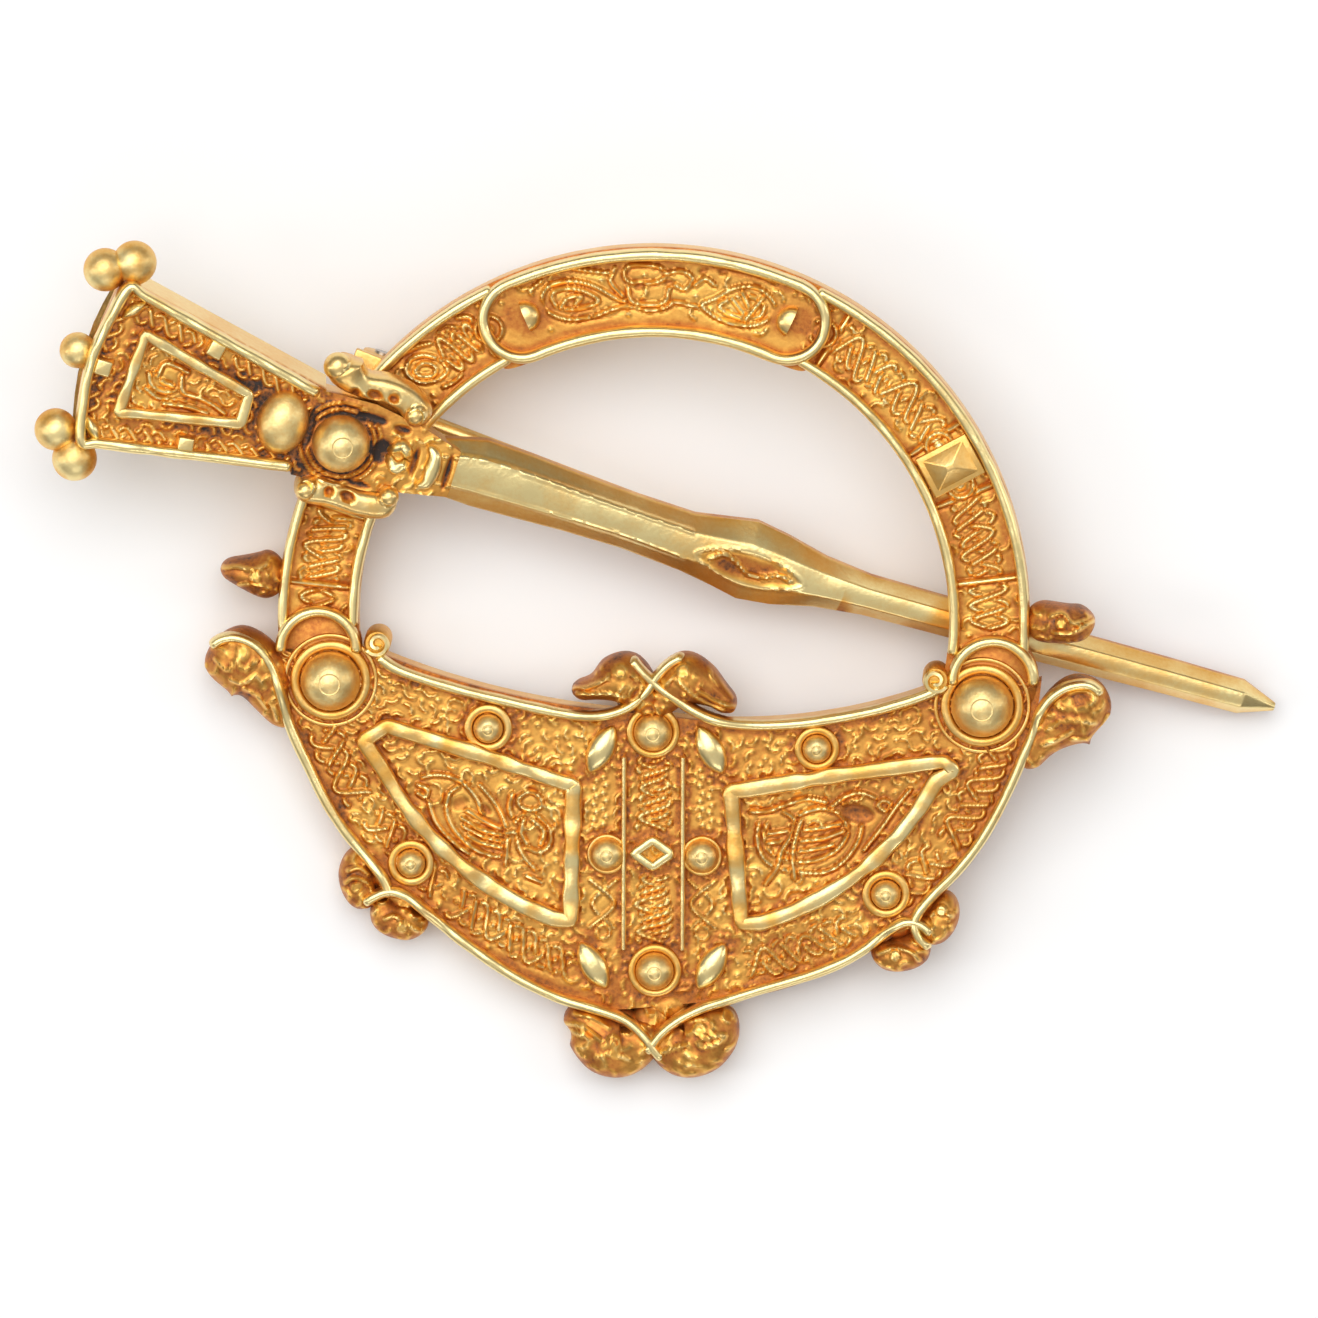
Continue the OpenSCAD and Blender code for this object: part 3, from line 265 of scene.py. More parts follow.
# Ovals, mask and wavy ties inside the cartouche
CARTOUCHE_STRANDS = (
    ((-4.57, 13.74), (-4.16, 14.06), (-3.32, 14.16), (-2.49, 13.95), (-1.66, 13.49), (-1.07, 13.26),
     (-1.66, 12.91), (-2.49, 12.67), (-3.6, 12.56), (-4.43, 12.88), (-4.67, 13.33), (-4.57, 13.74)),
    ((-4.13, 13.72), (-3.46, 13.85), (-2.77, 13.67), (-2.32, 13.33), (-3.04, 13.02), (-3.88, 13.02),
     (-4.23, 13.37), (-4.13, 13.72)),
    ((-3.88, 13.05), (-3.6, 13.44), (-3.04, 13.52), (-3.29, 13.19)),
    ((-2.49, 12.67), (-1.66, 13.02), (-0.82, 13.12), (-0.27, 12.97), (0.43, 13.08), (0.84, 13.3),
     (1.54, 13.16), (2.3, 13.02)),
    ((-1.24, 14.65), (-0.82, 14.85), (0.15, 14.78), (0.46, 14.51), (0.15, 14.16), (-0.68, 14.08),
     (-1.17, 14.22), (-1.24, 14.65)),
    ((-1.1, 13.91), (-0.96, 13.35), (-0.27, 13.19), (0.43, 13.33), (0.59, 13.88)),
    ((0.46, 14.51), (1.12, 14.6), (1.57, 14.3), (1.26, 13.85), (0.84, 14.02)),
    ((-1.66, 14.72), (-1.82, 14.16), (-1.35, 13.58)),
    ((1.96, 13.19), (2.51, 13.47), (3.34, 13.91), (4.18, 13.95), (4.8, 13.53), (5.01, 13.05), (4.73, 12.63),
     (4.04, 12.35), (3.21, 12.42), (2.51, 12.7), (1.96, 13.19)),
    ((2.68, 13.12), (3.34, 13.53), (4.04, 13.53), (4.52, 13.19), (4.32, 12.74), (3.48, 12.7),
     (2.68, 13.12)),
    ((3.62, 13.74), (4.04, 12.88)), ((3.21, 13.47), (3.9, 12.6)), ((4.46, 13.47), (3.76, 12.6)),
    ((-3.6, 14.72), (-2.77, 14.6), (-1.93, 14.51)),
    ((2.51, 14.85), (3.34, 14.72), (4.18, 14.51), (5.01, 14.16)),
    ((-4.99, 13.3), (-5.13, 13.74), (-4.68, 14.16)), ((1.68, 14.02), (2.09, 14.3), (2.51, 14.02)),
)
# Two coiled animals on the ring's upper left
RING_BEASTS = (
    ((-9.02, 11.8), (-8.6, 12.19), (-7.91, 12.15), (-7.6, 11.8), (-8.04, 11.38), (-8.74, 11.35),
     (-9.02, 11.8)),
    ((-10.27, 10.27), (-10.13, 10.8), (-9.57, 11.03), (-8.88, 10.83), (-8.57, 10.41), (-9.02, 9.99),
     (-9.71, 9.91), (-10.27, 10.27)),
    ((-9.92, 10.34), (-9.57, 10.69), (-9.09, 10.55), (-9.16, 10.2), (-9.64, 10.13), (-9.92, 10.34)),
    ((-8.6, 11.35), (-7.91, 11.1), (-7.46, 11.38), (-7.35, 11.94), (-7.63, 12.6), (-8.18, 12.6)),
    ((-8.88, 10.83), (-8.18, 10.97), (-7.88, 10.55), (-8.18, 9.99), (-8.74, 9.69)),
    ((-9.29, 11.52), (-9.85, 11.38), (-10.54, 10.97), (-10.96, 10.55)), ((-8.74, 11.94), (-8.04, 11.59)),
    ((-8.6, 12.05), (-7.84, 11.77)),
)
# Eyes, snouts, jaws and manes cut on the beast-head lugs
HEAD_LINES = (
    ((-3.32, -2.85), (-2.68, -2.72), (-2.02, -2.38), (-1.82, -2.16)),
    ((-3.24, -2.49), (-2.68, -2.16), (-2.15, -1.81), (-1.86, -1.52)),
    ((-3.15, -3.01), (-2.42, -3.01), (-1.75, -2.98), (-1.19, -3.12)),
    ((-1.82, -1.52), (-1.35, -1.25), (-0.82, -1.32), (-0.39, -1.65)),
    ((-0.95, -3.38), (-0.55, -2.98), (-0.42, -2.48), (-0.82, -2.18)), ((-2.66, -1.72), (-2.42, -2.16)),
    ((-2.39, -1.52), (-2.15, -1.94)),
    ((0.48, -2.58), (1.02, -2.05), (1.55, -1.49), (2.22, -1.65), (2.46, -2.18), (2.78, -2.58)),
    ((1.28, -2.98), (1.95, -2.85), (2.62, -3.25), (3.44, -3.58)),
    ((1.02, -2.32), (1.55, -2.85), (2.22, -3.38), (2.91, -3.68)),
    ((2.68, -2.18), (3.04, -2.72), (3.35, -3.12)),
    ((-18.17, -1.69), (-17.64, -2.09), (-17.24, -1.69), (-16.97, -2.09), (-16.46, -1.69)),
    ((-17.5, -2.52), (-16.97, -2.65), (-16.44, -2.36), (-16.14, -2.89)),
    ((-16.3, -3.42), (-15.77, -3.69), (-15.61, -4.22)), ((-16.97, -2.89), (-16.44, -3.18), (-16.04, -3.72)),
    ((16.73, -3.29), (17.26, -2.82), (17.93, -2.69), (18.36, -3.02), (17.93, -3.37), (17.13, -3.45),
     (16.73, -3.29)),
    ((16.33, -4.36), (17, -3.96), (17.66, -3.93), (18.36, -4.09)),
    ((16.2, -5.02), (16.86, -4.76), (17.4, -4.38)),
    ((17.4, -4.78), (18.06, -4.76), (18.6, -4.36), (18.89, -3.85)),
    ((-3.5, -17.22), (-2.84, -17.36), (-2.17, -17.69)),
    ((-3.7, -17.02), (-3.1, -16.93), (-2.44, -17.26), (-2.01, -17.69), (-1.88, -18.22)),
    ((-2.3, -18.22), (-1.64, -18.09), (-0.94, -18.36)), ((-3.24, -16.49), (-2.44, -16.62), (-1.77, -17.02)),
    ((1.93, -17.56), (2.46, -17.36), (3.06, -17.29), (2.73, -17.64), (2.13, -17.77), (1.93, -17.56)),
    ((0.33, -18.09), (1, -17.82), (1.56, -17.69)), ((3.13, -17.96), (3.53, -17.69), (3.82, -17.16)),
    ((0.6, -17.02), (1.26, -16.76), (2.22, -16.62)),
    ((-12.79, -11.06), (-12.39, -10.8), (-11.79, -11.06), (-11.63, -11.46)),
    ((-12.66, -10.53), (-12.19, -10.4), (-11.79, -10.66)),
    ((-11.12, -12.53), (-10.72, -12.4), (-10.32, -12.66), (-9.76, -13.06)),
    ((12.18, -11.2), (12.64, -11.46), (12.71, -12), (12.31, -12.4)),
    ((11.51, -12.26), (11.91, -12), (12.47, -12.26)),
    ((9.38, -13.86), (10.04, -13.6), (10.71, -13.73), (11.11, -14.13)),
    ((16.44, 0.4), (16.98, 0.54), (17.38, 0.14), (18.2, 0.27)),
    ((16.58, -0.26), (17.24, -0.33), (17.91, 0), (18.38, 0.14)),
    ((-16, 2.3), (-16.6, 2.1), (-17.3, 2.2), (-17.9, 2.1)), ((-15.9, 1.3), (-16.5, 1.5), (-17.2, 1.4)),
)
# Eyes of the beast heads: x, y, radius
HEAD_EYES = ((-1.35, -1.95, 0.24), (1.25, -1.95, 0.24), (-17, -1.35, 0.22), (17.2, -3.15, 0.16),
             (-1.6, -17.6, 0.26), (2, -17.05, 0.22), (-12.3, -11.2, 0.16), (12, -12, 0.16),
             (-10.4, -12.9, 0.16), (10.1, -13.9, 0.16), (-16.5, 1.8, 0.18), (16.9, 0.12, 0.16))
# Strands on the pin's head, in the pin's frame
PIN_STRANDS = (
    ((-8.45, 0.55), (-8.19, 0.1), (-7.52, 0.02), (-6.99, 0.43), (-6.95, 0.83)),
    ((-8.25, 0.73), (-7.9, 0.44), (-7.35, 0.33)),
    ((-8.39, -0.09), (-7.8, -0.32), (-7.05, -0.24), (-6.29, -0.16)),
    ((-7.1, 0.79), (-6.86, 0.21), (-6.12, 0.15), (-5.57, 0.04), (-4.96, -0.18)),
    ((-7.49, -0.49), (-6.5, -0.34), (-5.68, -0.38)),
    ((-8.06, 0.53), (-7.96, 1.08), (-7.6, 1.18), (-6.9, 1.05)),
)


class BroochSizes(bpy.types.PropertyGroup):
    """Sizes of the chased work that a maker would change"""

    rim_width: FloatProperty(
        name="Rim width", description="Width of the polished rims of plate and ring",
        default=0.00046, min=0.0003, max=0.0008, precision=5, unit="LENGTH")
    relief_height: FloatProperty(
        name="Relief height", description="Height of the interlace above its ground",
        default=0.00013, min=0.00005, max=0.0003, precision=5, unit="LENGTH")
    strand_width: FloatProperty(
        name="Strand width", description="Width of an interlace strand",
        default=0.00019, min=0.0001, max=0.0004, precision=5, unit="LENGTH")
    hammering: FloatProperty(
        name="Hammering", description="Unevenness of the hand-finished rims and domes",
        default=0.05, min=0.0, max=0.2, subtype="FACTOR")
    columns: IntProperty(
        name="Plate columns", description="Quads along the terminal plate", default=540, min=60, max=560)


class BroochFinish(bpy.types.PropertyGroup):
    """Colours of the worn gold, the grime in its recesses and the painted shade beside raised work"""

    pit_colour: FloatVectorProperty(
        name="Pit colour", description="Dark grime in the deepest recesses", subtype="COLOR",
        default=(0.03, 0.018, 0.014), min=0.0, max=1.0)
    # The painted shade beside raised work also darkens towards this colour
    rust_colour: FloatVectorProperty(
        name="Rust colour", description="Red-brown patina beside raised work", subtype="COLOR",
        default=(0.47, 0.15, 0.028), min=0.0, max=1.0)
    gold_colour: FloatVectorProperty(
        name="Gold colour", description="Gold of the ground", subtype="COLOR",
        default=(0.8, 0.43, 0.095), min=0.0, max=1.0)
    polish_colour: FloatVectorProperty(
        name="Polish colour", description="Pale rubbed gold of the rims", subtype="COLOR",
        default=(0.93, 0.75, 0.35), min=0.0, max=1.0)
    polish_roughness: FloatProperty(
        name="Polish roughness", description="Roughness of rubbed gold",
        default=0.28, min=0.05, max=1.0, subtype="FACTOR")
    ground_roughness: FloatProperty(
        name="Ground roughness", description="Roughness of the patinated ground",
        default=0.46, min=0.05, max=1.0, subtype="FACTOR")


class BroochStudio(bpy.types.PropertyGroup):
    """Floor, lights and camera"""

    floor_colour: FloatVectorProperty(
        name="Floor colour", description="Plain pale floor", subtype="COLOR",
        default=(0.94, 0.94, 0.94), min=0.0, max=1.0)
    key_power: FloatProperty(
        name="Key light", description="Power of the large soft light above the brooch",
        default=2.9, min=0.0, unit="POWER")
    side_power: FloatProperty(
        name="Side lights", description="Power of the two soft side lights",
        default=0.5, min=0.0, unit="POWER")
    room_strength: FloatProperty(
        name="Room light", description="Strength of the plain surrounding light overhead",
        default=0.56, min=0.0)
    camera_distance: FloatProperty(
        name="Camera distance", description="Distance from the camera to the face",
        default=0.8, min=0.2, max=5.0, unit="LENGTH")
    frame_width: FloatProperty(
        name="Frame width", description="Width of the view at the face",
        default=0.05464, min=0.02, max=0.5, precision=5, unit="LENGTH")


def spaced(points, step):
    """Evenly spaced points on a smooth path through rows of numbers"""
    rows = np.array(points, float)
    if len(rows) > 2:
        ends = np.vstack([2 * rows[0] - rows[1], rows, 2 * rows[-1] - rows[-2]])
        if np.allclose(rows[0], rows[-1]):
            ends[0], ends[-1] = rows[-2], rows[1]
        t = np.linspace(0, 1, 12, endpoint=False)[:, None]
        parts = []
        for a, b, c, d in zip(ends, ends[1:], ends[2:], ends[3:]):
            parts.append(0.5 * (2 * b + (c - a) * t + (2 * a - 5 * b + 4 * c - d) * t**2
                                + (3 * b - a - 3 * c + d) * t**3))
        rows = np.vstack(parts + [rows[-1:]])
    steps = np.hypot(np.diff(rows[:, 0]), np.diff(rows[:, 1]))
    run = np.concatenate([[0], np.cumsum(steps)])
    count = max(int(run[-1] / step), 2)
    at = np.linspace(0, run[-1], count + 1)
    return np.stack([np.interp(at, run, rows[:, k]) for k in range(rows.shape[1])], axis=1)


def arc(circle, start, end, step=0.2, inset=0.0):
    """Points on a circle from one angle to another in degrees, drawn in from its edge"""
    x, y, radius = circle
    count = max(int(abs(end - start) * math.pi / 180 * radius / step), 4)
    turn = np.radians(np.linspace(start, end, count + 1))
    return np.stack([x + (radius - inset) * np.cos(turn), y + (radius - inset) * np.sin(turn)], axis=1)


def bearing(circle, point):
    """Angle in degrees from a circle's centre to a point"""
    return math.degrees(math.atan2(point[1] - circle[1], point[0] - circle[0]))


def heading(angle):
    """Cosine and sine of an angle in degrees"""
    return math.cos(math.radians(angle)), math.sin(math.radians(angle))


def round_profile(radius, start, end, step, lift=0.0, squash=1.0):
    """Points on a circle from one whole angle towards another"""
    return [(radius * c, lift + squash * radius * s) for c, s in map(heading, range(start, end, step))]


def straight(points, marks):
    """Points on straight runs, at marked shares of each run"""
    rows = [(a[0] * (1 - t) + b[0] * t, a[1] * (1 - t) + b[1] * t)
            for a, b in zip(points, points[1:]) for t in marks]
    return rows + [tuple(points[-1])]


def leaf_rows(x, y, turn, reach, wide, tall, count=5):
    """Rows of a bead on a straight spine: width and height at its middle, and what its ends lose"""
    c, s = heading(turn)
    return [(x + t * c * reach, y + t * s * reach, wide[0] - wide[1] * t * t, tall[0] - tall[1] * t * t)
            for t in np.linspace(-1, 1, count)]


def squared(wave, power):
    """A cosine or sine drawn out towards a square section"""
    return np.sign(wave) * np.abs(wave) ** (2 / power)


def sideways(slope, run, share):
    """The direction across a path at shares of its run, from its slope"""
    slope = slope / np.hypot(slope[:, 0], slope[:, 1])[:, None]
    return np.interp(share, run, -slope[:, 1]), np.interp(share, run, slope[:, 0])


def mottle(x, y, size, seed):
    """Smooth seeded unevenness between -1 and 1"""
    table = np.random.default_rng(seed).uniform(-1, 1, (128, 128))
    gx, gy = np.asarray(x) / size + 500.0, np.asarray(y) / size + 500.0
    ix, iy = np.floor(gx).astype(int), np.floor(gy).astype(int)
    fx, fy = gx - ix, gy - iy
    fx, fy = fx * fx * (3 - 2 * fx), fy * fy * (3 - 2 * fy)
    a, b = table[ix % 128, iy % 128], table[(ix + 1) % 128, iy % 128]
    c, d = table[ix % 128, (iy + 1) % 128], table[(ix + 1) % 128, (iy + 1) % 128]
    return (a * (1 - fx) + b * fx) * (1 - fy) + (c * (1 - fx) + d * fx) * fy


class Relief:
    """Height and shadow of the low ornament on a face, kept on fine cells"""

    cell = 0.04

    def __init__(self, low, high):
        self.low = np.array(low, float)
        shape = ((np.array(high) - self.low) / self.cell).astype(int) + 1
        self.height = np.zeros(shape)
        self.shadow = np.zeros(shape)
        self.used = np.zeros(shape, bool)

    def window(self, x, y, reach):
        """The cells near a point, and how far each lies from it"""
        i, j = (x - self.low[0]) / self.cell, (y - self.low[1]) / self.cell
        r = reach / self.cell
        i0, i1 = max(int(i - r), 0), min(int(i + r) + 2, self.height.shape[0])
        j0, j1 = max(int(j - r), 0), min(int(j + r) + 2, self.height.shape[1])
        if i0 >= i1 or j0 >= j1:
            return None, None
        rows = np.arange(i0, i1)[:, None] - i
        cols = np.arange(j0, j1)[None, :] - j
        return (slice(i0, i1), slice(j0, j1)), np.sqrt(rows * rows + cols * cols) * self.cell

    def strand(self, points, width, height, groove=True):
        """A raised round wire along a path, with a thin groove beside it"""
        path = spaced(points, 0.035)
        half = width / 2
        if groove:
            for x, y in path[:, :2]:
                where, gap = self.window(x, y, half * 1.9)
                if where:
                    patch = self.height[where]
                    near = gap < half * 1.75
                    patch[near] = np.minimum(patch[near], -0.25 * height)
        for x, y in path[:, :2]:
            where, gap = self.window(x, y, half * 1.1)
            if where:
                rise = height * np.sqrt(np.clip(1 - (gap / half) ** 2, 0, 1))
                patch = self.height[where]
                np.maximum(patch, np.where(gap < half, rise, -9), out=patch)
                self.used[where] |= gap < half * 1.6

    def bead(self, x, y, radius, height):
        """A round granule"""
        where, gap = self.window(x, y, radius * 1.2)
        if where:
            rise = height * np.sqrt(np.clip(1 - (gap / radius) ** 2, 0, 1))
            patch = self.height[where]
            np.maximum(patch, np.where(gap < radius, rise, -9), out=patch)
            self.used[where] |= gap < radius * 1.3

    def pit(self, x, y, long, short, turn, depth):
        """A sunk oval filled with grime"""
        where, gap = self.window(x, y, max(long, short) * 1.2)
        if where:
            i = np.arange(where[0].start, where[0].stop)[:, None] * self.cell + self.low[0] - x
            j = np.arange(where[1].start, where[1].stop)[None, :] * self.cell + self.low[1] - y
            c, s = heading(turn)
            share = ((i * c + j * s) / long) ** 2 + ((j * c - i * s) / short) ** 2
            patch = self.height[where]
            np.minimum(patch, np.where(share < 1, -depth * (1 - share**2), 9), out=patch)
            self.used[where] |= share < 1

    def ring(self, x, y, radius, width, height):
        """A wire bent to a circle"""
        turn = np.radians(np.linspace(0, 360, 25))
        self.strand(np.stack([x + radius * np.cos(turn), y + radius * np.sin(turn)], 1), width, height)

    def shade(self, points, reach, amount=1.0):
        """Painted shade beside a raised rib, standing also for the rust patina that gathers there"""
        for x, y in spaced(points, 0.1)[:, :2]:
            where, gap = self.window(x, y, reach)
            if where:
                patch = self.shadow[where]
                np.maximum(patch, amount * np.clip(1.5 * (1 - gap / reach), 0, 1), out=patch)

    def braid(self, path, swing, waves, width, height, strands=2):
        """Strands that weave over and under each other along a path"""
        line = spaced(path, 0.05)
        step = np.gradient(line[:, :2], axis=0)
        side = np.stack([-step[:, 1], step[:, 0]], 1) / np.hypot(step[:, 0], step[:, 1])[:, None]
        share = np.linspace(0, 1, len(line))
        lines = []
        for k in range(strands):
            wave = np.sin(math.pi * (waves * share + 2 * k / strands))
            wave = (wave + 0.3 * mottle(line[:, 0], line[:, 1], 0.9, 30 + k))[:, None]
            lines.append(line[:, :2] + side * wave * swing)
            self.strand(lines[-1], width, height)
        for k in range(1, int(waves), 2):
            near = np.abs(share - k / waves) < 0.32 / waves
            if near.sum() > 2:
                self.strand(lines[0][near], width, height)

    def fill(self, inside, spacing, width, height, seed):
        """Short seeded curls and granules wherever a field is still bare"""
        rng = np.random.default_rng(seed)
        nx, ny = self.height.shape
        xs = np.arange(self.low[0], self.low[0] + nx * self.cell, spacing)
        ys = np.arange(self.low[1], self.low[1] + ny * self.cell, spacing)
        gx, gy = np.meshgrid(xs, ys)
        gx = gx.ravel() + rng.uniform(-0.35, 0.35, gx.size) * spacing
        gy = gy.ravel() + rng.uniform(-0.35, 0.35, gy.size) * spacing
        keep = inside(gx, gy)
        turns, kinds = rng.uniform(0, 6.28, keep.sum()), rng.uniform(0, 1, keep.sum())
        for x, y, turn, kind in zip(gx[keep], gy[keep], turns, kinds):
            where, gap = self.window(x, y, width * 0.7)
            if where is None or self.used[where].any():
                continue
            if kind < 0.25:
                self.bead(x, y, width * 0.62, height)
            else:
                reach = spacing * (0.5 + 0.5 * kind)
                bow = np.linspace(-1, 1, 5)
                px = x + reach * (bow * math.cos(turn) - 0.5 * bow**2 * math.sin(turn))
                py = y + reach * (bow * math.sin(turn) + 0.5 * bow**2 * math.cos(turn))
                self.strand(np.stack([px, py], 1), width * 0.9, height, groove=False)

    def settle(self, least):
        """Rounds the cells off a little and works out how rubbed each one is, then takes off the painted
        shade beside raised work
        """
        def soften(field, times):
            for _ in range(times):
                for axis in (0, 1):
                    field = 0.5 * field + 0.25 * (np.roll(field, 1, axis) + np.roll(field, -1, axis))
            return field
        sharp = soften(self.height, 1)
        blurred = soften(self.height, 10)
        top = max(float(sharp.max()), 0.01)
        nx, ny = sharp.shape
        x = self.low[0] + np.arange(nx)[:, None] * self.cell + np.zeros((1, ny))
        y = self.low[1] + np.arange(ny)[None, :] * self.cell + np.zeros((nx, 1))
        patchy = 0.11 * mottle(x, y, 1.3, 5) + 0.06 * mottle(x, y, 0.45, 6) + 0.07 * mottle(x, y, 3.7, 7)
        # Rubbing from height and crests, less the painted shade (with its rust patina) beside raised work
        self.rubbed = (0.385 + 0.38 * np.clip(sharp / top, -1, 1) + 2.8 * (sharp - blurred)
                       - 0.4 * soften(self.shadow, 2) + patchy)
        self.rubbed = np.clip(self.rubbed, least, 0.92)
        self.height = sharp

    def read(self, field, x, y):
        """A field's value between the cells"""
        gx = np.clip((x - self.low[0]) / self.cell, 0, field.shape[0] - 1.001)
        gy = np.clip((y - self.low[1]) / self.cell, 0, field.shape[1] - 1.001)
        ix, iy = gx.astype(int), gy.astype(int)
        fx, fy = gx - ix, gy - iy
        return ((field[ix, iy] * (1 - fx) + field[ix + 1, iy] * fx) * (1 - fy)
                + (field[ix, iy + 1] * (1 - fx) + field[ix + 1, iy + 1] * fx) * fy)


# Ornament of forms that carry none
BARE = Relief((0, 0), (0.2, 0.2))


def sizes():
    """The sizes in millimetres: rim half width, relief height, strand width, hammering"""
    s = bpy.context.scene.brooch_sizes
    return s.rim_width / MM / 2, s.relief_height / MM, s.strand_width / MM, s.hammering


def put_in_row(mesh, points, place):
    """Sets a mesh's points, given in millimetres in a piece's own frame"""
    m = np.array(place)
    row = (np.asarray(points) @ m[:3, :3].T + m[:3, 3]) * MM
    mesh.vertices.foreach_set("co", row.astype(np.float32).ravel())


def finished_mesh(bm, name):
    """Ends a bmesh and gives its mesh"""
    mesh = bpy.data.meshes.new(name)
    bm.to_mesh(mesh)
    bm.free()
    return mesh


def put_object(name, data):
    """Adds an object to the scene"""
    thing = bpy.data.objects.new(name, data)
    bpy.context.scene.collection.objects.link(thing)
    return thing


def skin(columns, rows, shape, place=REST):
    """A grid sheet wrapped into a closed body: shape(along, round) gives points and rubbing"""
    bm = bmesh.new()
    bmesh.ops.create_grid(bm, x_segments=columns, y_segments=rows, size=0.5)
    mesh = finished_mesh(bm, "skin")
    flat = np.empty(len(mesh.vertices) * 3, np.float32)
    mesh.vertices.foreach_get("co", flat)
    flat = flat.reshape(-1, 3).astype(float)
    span = flat.max(0) - flat.min(0)
    along = (flat[:, 0] - flat[:, 0].min()) / span[0]
    wrap = (flat[:, 1] - flat[:, 1].min()) / span[1]
    points, rubbed = shape(along, wrap)
    put_in_row(mesh, points, place)
    layer = mesh.attributes.new("rubbed", "FLOAT", "POINT")
    layer.data.foreach_set("value", np.broadcast_to(rubbed, along.shape).astype(np.float32))
    bm = bmesh.new()
    bm.from_mesh(mesh)
    bmesh.ops.remove_doubles(bm, verts=bm.verts, dist=2e-7)
    bmesh.ops.holes_fill(bm, edges=[e for e in bm.edges if e.is_boundary], sides=0)
    bmesh.ops.recalc_face_normals(bm, faces=bm.faces)
    bm.to_mesh(mesh)
    bm.free()
    return mesh


def shaped(bm, place, rubbed):
    """Ends a small hand-built form: its rubbing, its place in the row and its mesh"""
    layer = bm.verts.layers.float.new("rubbed")
    for v in bm.verts:
        v[layer] = rubbed(v.co) if callable(rubbed) else rubbed
    bmesh.ops.remove_doubles(bm, verts=bm.verts, dist=1e-4)
    bmesh.ops.recalc_face_normals(bm, faces=bm.faces)
    bm.transform(Matrix.Scale(MM, 4) @ place)
    return finished_mesh(bm, "form")


def turned(profile, place, rubbed, steps=56, cut=None, stretch=(1, 1, 1)):
    """A form spun from its profile of (radius, height), cut flat on one side if asked"""
    bm = bmesh.new()
    verts = [bm.verts.new((r, 0, z)) for r, z in profile]
    edges = [bm.edges.new(pair) for pair in zip(verts, verts[1:])]
    bmesh.ops.spin(bm, geom=verts + edges, cent=(0, 0, 0), axis=(0, 0, 1), angle=math.tau, steps=steps,
                   use_merge=True)
    bmesh.ops.remove_doubles(bm, verts=bm.verts, dist=1e-4)
    if cut is not None:
        bmesh.ops.bisect_plane(bm, geom=bm.verts[:] + bm.edges[:] + bm.faces[:], plane_co=(0, 0, 0),
                               plane_no=cut, clear_outer=True)
    bmesh.ops.holes_fill(bm, edges=[e for e in bm.edges if e.is_boundary], sides=0)
    bmesh.ops.scale(bm, vec=stretch, verts=bm.verts)
    return shaped(bm, place, rubbed)


def block(size, place, rubbed, edge=0.06, taper=1.0):
    """A box with rounded edges, its top drawn in by the taper"""
    bm = bmesh.new()
    bmesh.ops.create_cube(bm, size=1.0)
    bmesh.ops.scale(bm, vec=size, verts=bm.verts)
    top = [v for v in bm.verts if v.co.z > 0]
    bmesh.ops.scale(bm, vec=(taper, taper, 1), verts=top)
    bmesh.ops.translate(bm, vec=(0, 0, size[2] / 2), verts=bm.verts)
    bmesh.ops.bevel(bm, geom=bm.edges[:], offset=edge, offset_type="OFFSET", affect="EDGES", segments=3,
                    profile=0.5, material=-1)
    return shaped(bm, place, rubbed)


def channel(outline, x0, x1, place, rubbed, edge=0.05):
    """A bar drawn along x from an outline of (y, z)"""
    bm = bmesh.new()
    face = bm.faces.new([bm.verts.new((x0, y, z)) for y, z in outline])
    drawn = bmesh.ops.extrude_face_region(bm, geom=[face])
    end = [v for v in drawn["geom"] if isinstance(v, bmesh.types.BMVert)]
    bmesh.ops.translate(bm, vec=(x1 - x0, 0, 0), verts=end)
    bmesh.ops.recalc_face_normals(bm, faces=bm.faces)
    sharp = [e for e in bm.edges if e.calc_face_angle(0) > 0.6]
    bmesh.ops.bevel(bm, geom=sharp, offset=edge, offset_type="OFFSET", affect="EDGES", segments=2,
                    profile=0.5, material=-1)
    return shaped(bm, place, rubbed)


def around(wrap, rows):
    """Share across and share of height for rows that run over a slab's top, edge, back and edge"""
    top, edge, back = rows
    marks = np.cumsum([0, top, edge, back, edge])
    row = wrap * marks[-1]
    return np.interp(row, marks, [0, 1, 1, 0, 0]), np.interp(row, marks, [1, 1, 0, 0, 1])


def slab(columns, rows, shape, place=REST):
    """A skin whose rows run over a slab's top, edge, back and edge"""
    return skin(columns, rows[0] + 2 * rows[1] + rows[2], shape, place)


def on_top(level):
    """The points of a slab's top, and those of its back"""
    return level > 0.999, level < 0.001


def chased_slab(x, y, level, ground, seed, paler=0.0, back_tone=0.6):
    """Points and rubbing of a slab whose top carries the face's ornament, the painted shade beside raised
    work included
    """
    face = ornament("face")
    top, back = on_top(level)
    uneven = 0.03 * mottle(x, y, 0.9, seed)
    z = np.where(top, ground + face.read(face.height, x, y), level * ground + back * (0.02 + uneven))
    rubbed = np.where(top, face.read(face.rubbed, x, y) + paler, back_tone + 3 * uneven)
    return np.stack([x, y, z], 1), rubbed


